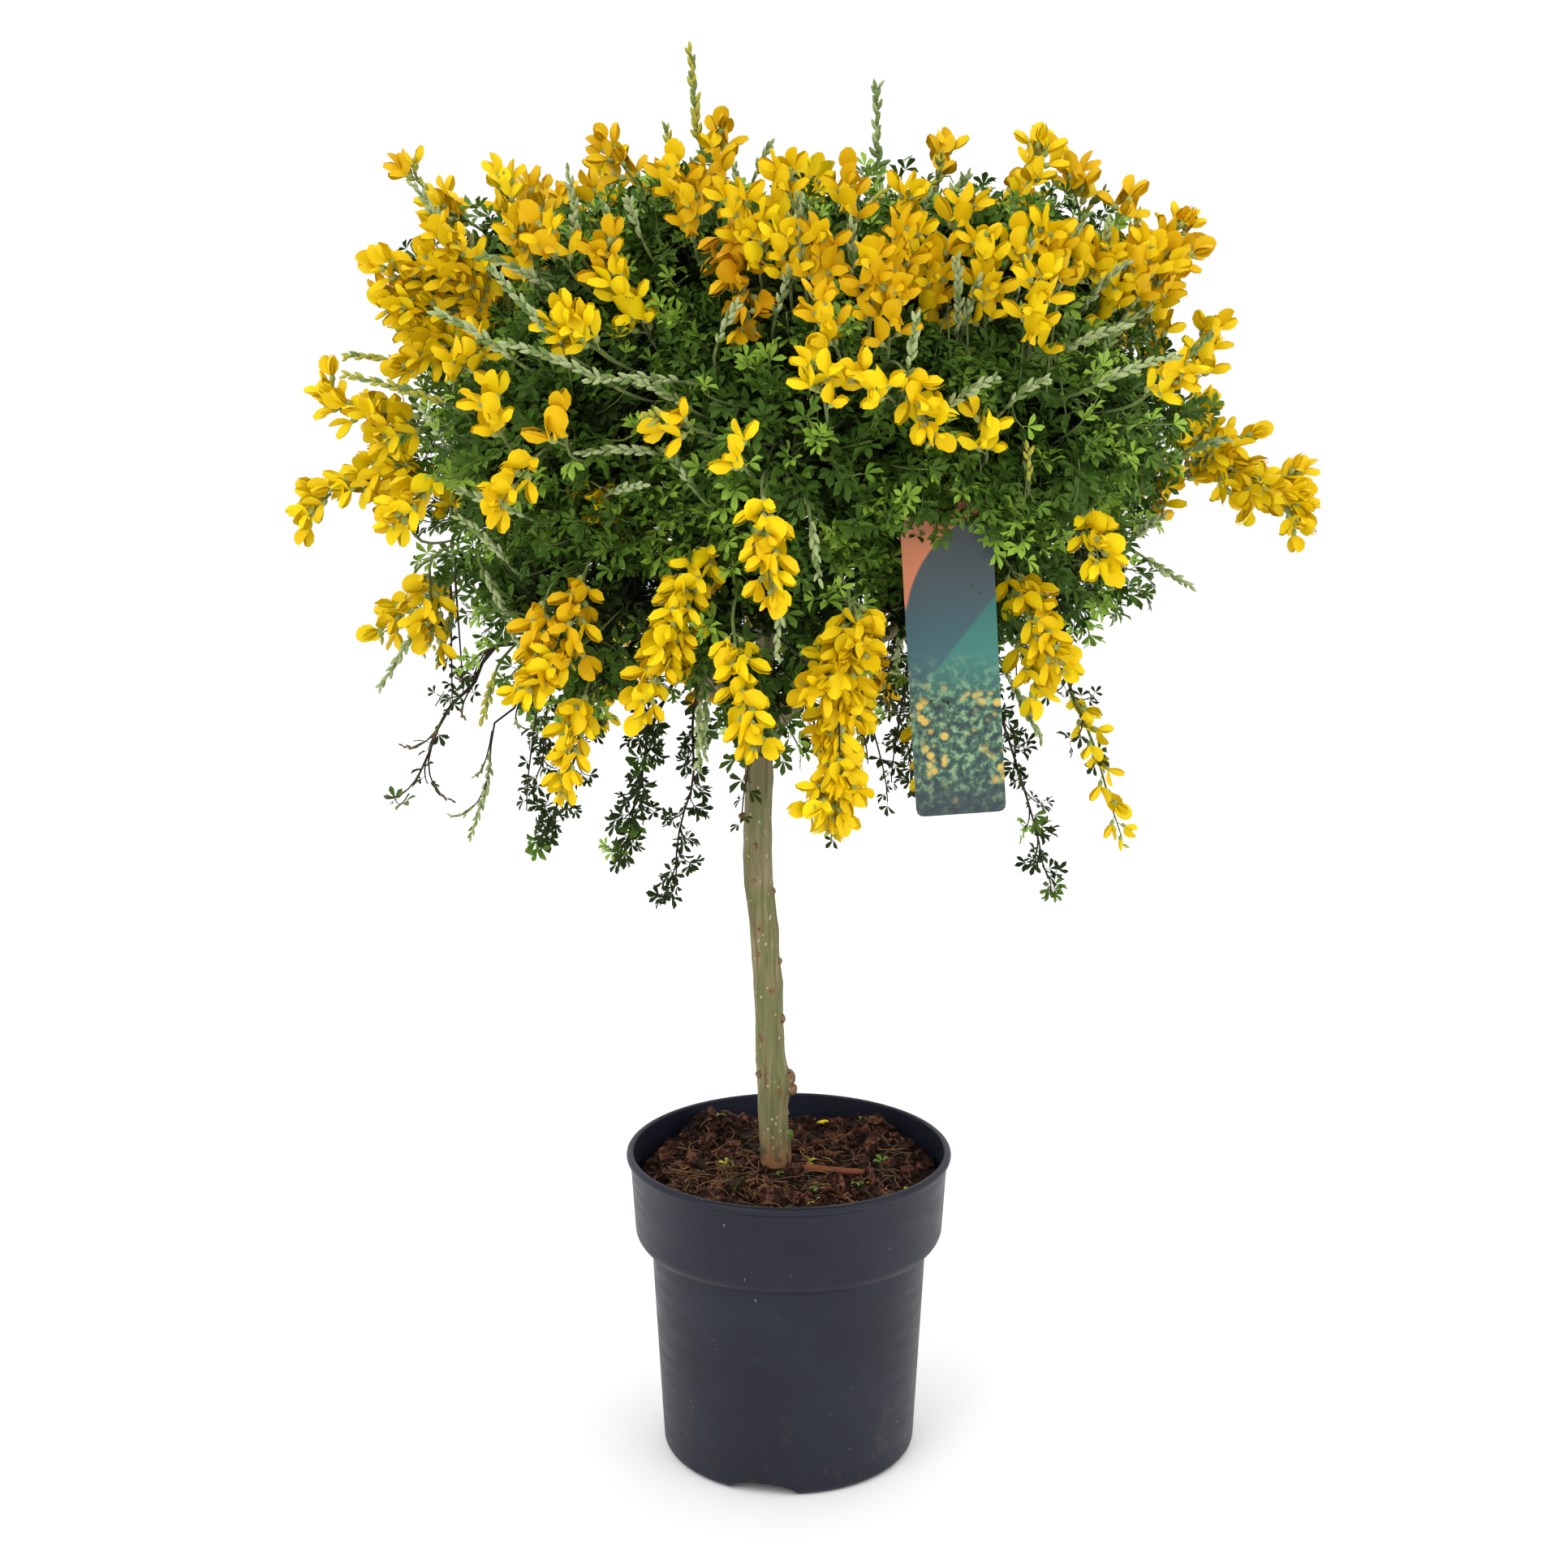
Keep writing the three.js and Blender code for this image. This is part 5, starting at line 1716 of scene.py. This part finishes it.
@dataclass
class Sprays:
    """Grows the shoots that stand or hang out of the head."""

    head: Head
    rng: Rng
    foliage: Foliage
    blossom: Blossom
    lead_in: float = 30 * MM

    def line(self, node: str) -> Array:
        """Return a smooth line down a spray's solid, led in from the head."""
        mass = self.head.masses[node]
        points = mass.centre_line(self.head.middle, 7)
        away = np.linalg.norm(points - self.head.middle, axis=1)
        if away[0] > away[-1]:
            points = points[::-1]
        end = mass.corners[np.linalg.norm(mass.corners - points[0], axis=1).argmax()]
        root = points[0] + self.lead_in * unit(self.head.middle - points[0])
        return resampled(np.concatenate([[root], points, [0.8 * end + 0.2 * points[-1]]]), 40)

    def grow(self, spray: Spray) -> None:
        """Grow one spray after its habit."""
        line = self.line(spray.node)
        if spray.habit is Habit.FLOWERING:
            self.blossom.raceme(line[9:36], spray.kind, spray.flowers)
            self.blossom.stalk(line[:37:4], 1.0)
            for twig in self.side_lines(line[8:30], spray.sides, spray.side_mm * MM):
                self.blossom.raceme(resampled(twig, 12)[3:], spray.kind, 7, 0.95)
        elif spray.habit is Habit.SPIKED:
            self.blossom.spike(line[6:], spray.kind, 1.1)
            self.blossom.stalk(line[::4], 0.9)
        elif spray.habit is Habit.LOOSE:
            self.side_twigs(line[:24], 7, 20 * MM, 5)
            self.blossom.stalk(line[16::3], 0.9)
            self.blossom.raceme(line[16:], spray.kind, spray.flowers, 0.86)
        elif spray.habit is Habit.BUDDED:
            self.blossom.stalk(line[::4], 0.9, Tissue.TWIG_DARK_BARE)
            self.blossom.spike(line[24:], spray.kind, 0.85)
            self.side_spikes(line[12:30], 3, spray.kind)
        elif spray.habit is Habit.BARE:
            self.blossom.stalk(line[::4], 1.3, Tissue.TWIG_DARK_BARE)
            self.side_spikes(line[8:36], 7, spray.kind)
            self.side_twigs(line[10:], 5, 26 * MM, 4)
        else:
            self.side_twigs(line, 15, 17 * MM, 7)

    def side_lines(self, line: Array, count: int, length: float) -> Array:
        """Return short side twigs in a spiral round a line, drooping a little."""
        t = np.linspace(0.12, 1, count)
        place, along, radial = spiral_on(line, t, self.rng)
        reach = length * self.rng.uniform(0.6, 1.1, (count, 1))
        ends = place + reach * unit(0.75 * radial + 0.8 * along + self.rng.normal(0, 0.15, place.shape))
        return arched(place, 0.4 * reach * along, ends, 0.3 * reach * unit(radial + 0.3 * UP), 6)

    def side_twigs(self, line: Array, count: int, length: float, leaves: int) -> None:
        """Dress a strand with leafy side twigs."""
        self.blossom.stalk(line[::3], 1.0, Tissue.TWIG_DARK_BARE)
        lines = self.side_lines(line, count, length)
        self.blossom.stalks.add_tubes(Tissue.TWIG_DARK_BARE, lines, 0.55, 0.5)
        self.foliage.dress(lines, leaves, 0.3, 0.9, 0.78)

    def side_spikes(self, line: Array, count: int, kind: Kind) -> None:
        """Set small spikes on side twigs."""
        for twig in self.side_lines(line, count, 30 * MM):
            self.blossom.stalk(twig, 0.6, Tissue.TWIG_DARK_BARE)
            self.blossom.spike(resampled(twig, 12)[6:], kind, 0.6)


# ---- what grows where

# How much wider apart the twigs stand in the masses that are see-through.
OPEN_MASSES = {
    "low_left_tuft": 2.1, "middle_left_tuft": 1.4, "low_front_left_tuft": 1.25, "low_right_tuft": 1.6,
    "middle_right_tuft": 1.35, "low_back_left_tuft": 1.5, "low_back_right_tuft": 1.4, "low_back_tuft": 1.3,
    "low_front_tuft": 1.15, "low_front_right_tuft": 1.15,
}

LEMON, YELLOW, GOLD, AMBER, OPENING, SILVER, OLIVE, GREEN, DRY = Kind
LEAFY, FLOWERING, LOOSE, SPIKED, BARE, BUDDED = Habit

SPRAYS = [
    Spray("top_spike", SPIKED, OLIVE),
    Spray("second_spike", SPIKED, GREEN),
    Spray("right_top_spray", FLOWERING, YELLOW, 15, 2, 14),
    Spray("far_upper_left_spray", FLOWERING, OPENING, 14, 2, 14),
    Spray("far_upper_right_spray", FLOWERING, GOLD, 14, 3, 15),
    Spray("left_bud_spray", SPIKED, OLIVE),
    Spray("left_upper_arm", FLOWERING, YELLOW, 20, 3),
    Spray("left_lower_arm", FLOWERING, LEMON, 28, 3),
    Spray("right_arm", FLOWERING, YELLOW, 46, 9),
    Spray("front_hanging_strand", FLOWERING, YELLOW, 56, 8),
    Spray("right_hanging_strand", LOOSE, LEMON, 14),
    Spray("left_bare_fan", BARE, DRY),
    Spray("left_bud_strand", BUDDED, SILVER),
    *(
        Spray(f"{place}_strand", LEAFY)
        for place in ("left_leaf", "front_left", "right_leaf", "back_hanging", "back_left", "back_right")
    ),
]

# Each tuft's shoots, in the order of Shoot's own fields.
SHOOTS: dict[str, list[tuple]] = {
    "top_left_tuft": [
        (45, 60, 95, 30, GOLD), (60, 60, 85, 24, GOLD), (75, 45, 100, 26, YELLOW),
        (30, 45, 110, 28, SILVER), (90, 55, 90, 28, YELLOW),
    ],
    "upper_front_left_tuft": [
        (45, 45, 105, 24, GOLD), (40, 10, 135, 24, LEMON), (30, 65, 100, 20, SILVER),
        (45, 65, 92, 28, SILVER), (20, 40, 140, 46, SILVER), (80, 70, 95, 28, GOLD),
        (25, 55, 120, 24, GOLD),
    ],
    "upper_left_tuft": [
        (75, 75, 80, 14, GOLD), (45, 45, 130, 36, YELLOW), (55, 50, 125, 44, YELLOW),
        (40, 35, 165, 40, YELLOW), (55, 20, 180, 40, YELLOW), (60, 40, 140, 40, GOLD),
        (65, 20, 125, 38, GOLD), (30, 50, 150, 36, YELLOW), (35, 15, 195, 30, YELLOW),
        (25, 30, 140, 30, GOLD), (80, 50, 105, 34, GOLD),
    ],
    "middle_left_tuft": [
        (35, 85, 140, 34, YELLOW), (55, 90, 130, 34, GOLD), (20, 50, 190, 26, YELLOW),
    ],
    "middle_front_left_tuft": [
        (15, 70, 60, 30, YELLOW), (80, 90, 115, 42, LEMON), (65, 85, 140, 24, LEMON),
        (35, 45, 105, 24, YELLOW), (45, 40, 235, 28, YELLOW), (55, 45, 95, 16, GOLD),
        (55, 85, 131, 64, SILVER), (70, 70, 148, 60, SILVER), (40, 80, 138, 52, SILVER),
        (15, 60, 155, 52, OLIVE), (40, 10, 150, 38, SILVER), (85, 40, 165, 40, SILVER),
        (95, 15, 130, 36, LEMON, 1.0), (10, 30, 230, 30, YELLOW),
    ],
    "upper_front_tuft": [
        (20, 80, -80, 42, AMBER, 0.7), (30, 60, 95, 24, YELLOW), (40, 50, 95, 28, YELLOW),
        (50, 45, 90, 36, GOLD), (65, 30, 90, 46, GOLD), (75, 45, 97, 40, GOLD), (55, 20, 115, 34, GOLD),
        (80, 60, 94, 20, YELLOW), (45, 50, 100, 38, SILVER), (60, 55, 89, 32, SILVER),
        (35, 35, 75, 30, SILVER), (85, 30, 85, 36, GOLD),
    ],
    "top_right_tuft": [
        (30, 55, 90, 24, GOLD), (55, 55, 85, 22, YELLOW), (80, 50, 80, 22, YELLOW),
        (10, 45, 100, 28, SILVER),
    ],
    "upper_front_right_tuft": [
        (25, 40, 95, 28, YELLOW), (45, 45, 95, 28, YELLOW), (70, 55, 90, 26, YELLOW),
        (75, 40, 90, 24, GOLD), (60, 50, 100, 20, YELLOW), (60, 40, 85, 30, SILVER),
        (35, 20, 80, 34, SILVER), (90, 30, 60, 40, SILVER),
    ],
    "upper_right_tuft": [
        (60, 25, 100, 48, YELLOW), (70, 30, 93, 38, GOLD), (85, 35, 85, 30, GOLD),
        (50, 45, 120, 26, YELLOW), (55, 50, 85, 32, SILVER), (50, 10, 40, 44, SILVER),
        (90, 15, 110, 34, YELLOW), (75, 45, 80, 24, YELLOW),
    ],
    "middle_front_right_tuft": [
        (45, 80, 92, 50, YELLOW, 0.7), (30, 90, 95, 26, YELLOW), (85, 60, 45, 30, YELLOW),
        (30, 35, 100, 22, LEMON, 0.8), (65, 10, -75, 28, LEMON, 0.8), (20, 85, 88, 46, SILVER),
        (55, 80, 32, 38, SILVER), (65, 65, 33, 44, SILVER), (45, 20, 95, 24, OLIVE),
        (35, 55, 55, 34, SILVER),
    ],
    "middle_front_tuft": [
        (55, 60, 100, 34, LEMON, 0.9), (75, 65, 145, 28, LEMON, 0.9), (80, 75, -60, 28, YELLOW),
        (75, 85, 92, 32, GOLD), (30, 35, 110, 30, LEMON, 1.6), (35, 25, -85, 40, YELLOW),
        (15, 50, 160, 34, OPENING), (10, 70, 170, 50, SILVER), (10, 60, 143, 26, SILVER),
        (80, 70, 80, 38, SILVER), (50, 15, -80, 24, SILVER), (20, 85, 70, 30, SILVER),
    ],
    "low_front_left_tuft": [
        (70, 90, 125, 34, LEMON, 0.9), (55, 75, -100, 42, GOLD), (50, 45, 210, 28, LEMON),
        (55, 30, -105, 42, YELLOW), (10, 75, -60, 38, SILVER), (25, 75, 120, 38, SILVER),
        (40, 65, -95, 34, GOLD),
    ],
    "low_left_tuft": [
        (30, 85, 90, 14, YELLOW), (20, 55, -85, 36, YELLOW), (10, 45, -80, 32, SILVER),
    ],
    "low_front_tuft": [
        (25, 85, -118, 50, LEMON), (10, 55, -120, 42, YELLOW), (35, 55, -80, 50, LEMON),
        (55, 75, -86, 32, SILVER), (15, 75, -110, 36, YELLOW), (20, 30, -95, 30, SILVER),
    ],
    "low_front_right_tuft": [
        (75, 65, -62, 52, YELLOW), (45, 65, 100, 26, SILVER), (40, 5, -80, 28, YELLOW),
        (80, 40, -65, 30, LEMON),
    ],
}


# ---- label


@dataclass
class CareLabel:
    """The blank care label: a thin curled card on its strap."""

    node: str = "care_label"
    thick: float = 0.5 * MM

    def build(self) -> Piece:
        """Model the card from its node's outline, curl it, and dress it."""
        low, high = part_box(self.node)
        source = bpy.data.objects[self.node]
        card = source.copy()
        card.data = source.data.copy()
        card.name = "printed_care_label"
        card.parent = None
        bpy.context.scene.collection.objects.link(card)
        alone(card)
        with editing():
            ops.mesh.remove_doubles(threshold=1e-6)
            for height in np.linspace(low.z, high.z, 26)[1:-1]:
                ops.mesh.select_all(action="SELECT")
                ops.mesh.bisect(plane_co=(0, 0, height), plane_no=(0, 0, 1))
        for corner in card.data.vertices:
            up = (corner.co.z - low.z) / (high.z - low.z)
            across = (corner.co.x - 0.5 * (low.x + high.x)) / (high.x - low.x)
            corner.co.y += 5 * MM * (across**2 - 0.1) + 4 * MM * sin(2.4 * up + 0.4)
        card.data.update()
        return coat(card, PrintedCard.material(low, high), smooth=False)


# ---- studio


@dataclass
class Studio:
    """The pale floor, the soft lights and the camera."""

    eye: tuple[float, float, float] = (-0.0028, -1.2656, 0.670)
    pitch: float = 12.03
    lens: float = 52.47

    def build(self) -> None:
        """Lay the floor, hang the lights and set the camera."""
        ops.mesh.primitive_plane_add(size=14, location=(0, 3, 0))
        floor = bpy.context.object
        floor.name = "studio_floor"
        paper = Paint("seamless_white_paper").put({"Base Color": "fdfdfd", "Roughness": 0.95})
        floor.data.materials.append(paper)
        floor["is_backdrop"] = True
        world = bpy.data.worlds.new("white_studio")
        bpy.context.scene.world = world
        world.use_nodes = True
        sky = world.node_tree.nodes["Background"]
        sky.inputs["Color"].default_value = (1.0, 1.0, 1.0, 1.0)
        sky.inputs["Strength"].default_value = 1.05
        self.softbox("key_softbox", (-1.3, -1.7, 2.1), (0, 0, 0.5), 1.6, 24)
        self.softbox("fill_softbox", (1.7, -1.3, 1.3), (0, 0, 0.45), 1.6, 11)
        self.softbox("top_softbox", (0.2, 0.6, 2.4), (0, 0, 0.6), 1.4, 12)
        camera = bpy.data.cameras.new("camera")
        camera.sensor_width = 36
        camera.lens = self.lens
        camera.clip_start = 0.01
        eye = bpy.data.objects.new("camera", camera)
        eye.location = self.eye
        eye.rotation_euler = (radians(90 - self.pitch), 0, 0)
        bpy.context.scene.collection.objects.link(eye)
        bpy.context.scene.camera = eye
        bpy.context.scene.view_settings.view_transform = "Standard"

    @staticmethod
    def softbox(name: str, place: tuple, aim: tuple, size: float, power: float) -> None:
        """Hang one square soft light."""
        light = bpy.data.lights.new(name, "AREA")
        light.size = size
        light.energy = power
        lamp = bpy.data.objects.new(name, light)
        lamp.location = place
        lamp.rotation_euler = (Vector(aim) - Vector(place)).to_track_quat("-Z", "Y").to_euler()
        bpy.context.scene.collection.objects.link(lamp)


def settle(piece: Piece, slot: str, *nodes: str) -> None:
    """Let a piece ride on the plant's one body and stand for nodes."""
    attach(piece, "root")
    if nodes:
        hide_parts(*nodes)
    LOG.info("%s: %d faces, stands for %d nodes", piece.name, len(piece.data.polygons), len(nodes))


def main() -> None:
    """Build the pot, the compost, the stem, the crown, the label and the studio."""
    logging.basicConfig(level=logging.INFO, format="%(name)s: %(message)s")
    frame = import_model()
    cad_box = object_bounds()
    room = np.array([list(corner) for corner in cad_box])  # the plant's own box

    settle(NurseryPot().build(), "pot_plastic", "pot")

    leaf_forms = LeafKit().variants()
    flowers = FlowerKit()
    flower_forms = flowers.variants()

    compost = Compost()
    rng = np.random.default_rng(compost.seed)
    settle(compost.bed(), "bark_compost", "potting_mix")
    for chips in compost.chip_pieces(rng):
        settle(chips, "bark_compost")
    for piece, finish in compost.fibre_heap(rng, leaf_forms, flower_forms).build():
        settle(piece, finish.slot)

    stem = Stem(sorted(n for n in frame["nodes"] if n.endswith("_bough")))
    settle(stem.build(), "bark", "trunk", *stem.boughs)
    settle(stem.scars(), "bark")

    head = Head()
    rng = np.random.default_rng(GROWTH_SEED)
    blossom = Blossom(head, rng, flower_forms, flowers.cup(), flowers.downy_bud(), room)
    for mass, shoots in SHOOTS.items():
        for shoot in shoots:
            blossom.place_shoot(mass, Shoot(*shoot))
    blossom.scatter(110, 28 * MM, {YELLOW: 0.45, GOLD: 0.3, LEMON: 0.25}, behind=-20 * MM)
    blossom.scatter(90, 24 * MM, {SILVER: 0.6, OLIVE: 0.15, GREEN: 0.25})
    blossom.scatter(30, 17 * MM, {SILVER: 0.7, OLIVE: 0.3}, above=0.68)
    foliage = Foliage(head, rng, stem.bough_tips, stem.bough_headings, leaf_forms, room)
    foliage.taken = np.concatenate(blossom.taken)
    sprays = Sprays(head, rng, foliage, blossom)
    for spray in SPRAYS:
        sprays.grow(spray)
    for tuft in head.tufts:
        foliage.grow_tuft(tuft)
    foliage.fill_hollows()
    foliage.veil()
    foliage.skirt()
    tufts = sorted(m.name for m in head.tufts)
    others = sorted(set(head.masses) - set(tufts))
    heaps = [(foliage.leaves, tufts), (foliage.twigs, []), (blossom.petals, others), (blossom.buds, [])]
    for heap, stood_for in [*heaps, (blossom.stalks, [])]:
        LOG.info("%s: %d triangles", heap.stem, heap.triangles())
        for piece, finish in heap.build():
            settle(piece, finish.slot, *stood_for)
            stood_for = []

    settle(CareLabel().build(), "label_card", "care_label")
    Studio().build()

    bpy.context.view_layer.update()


if __name__ == "__main__":
    main()
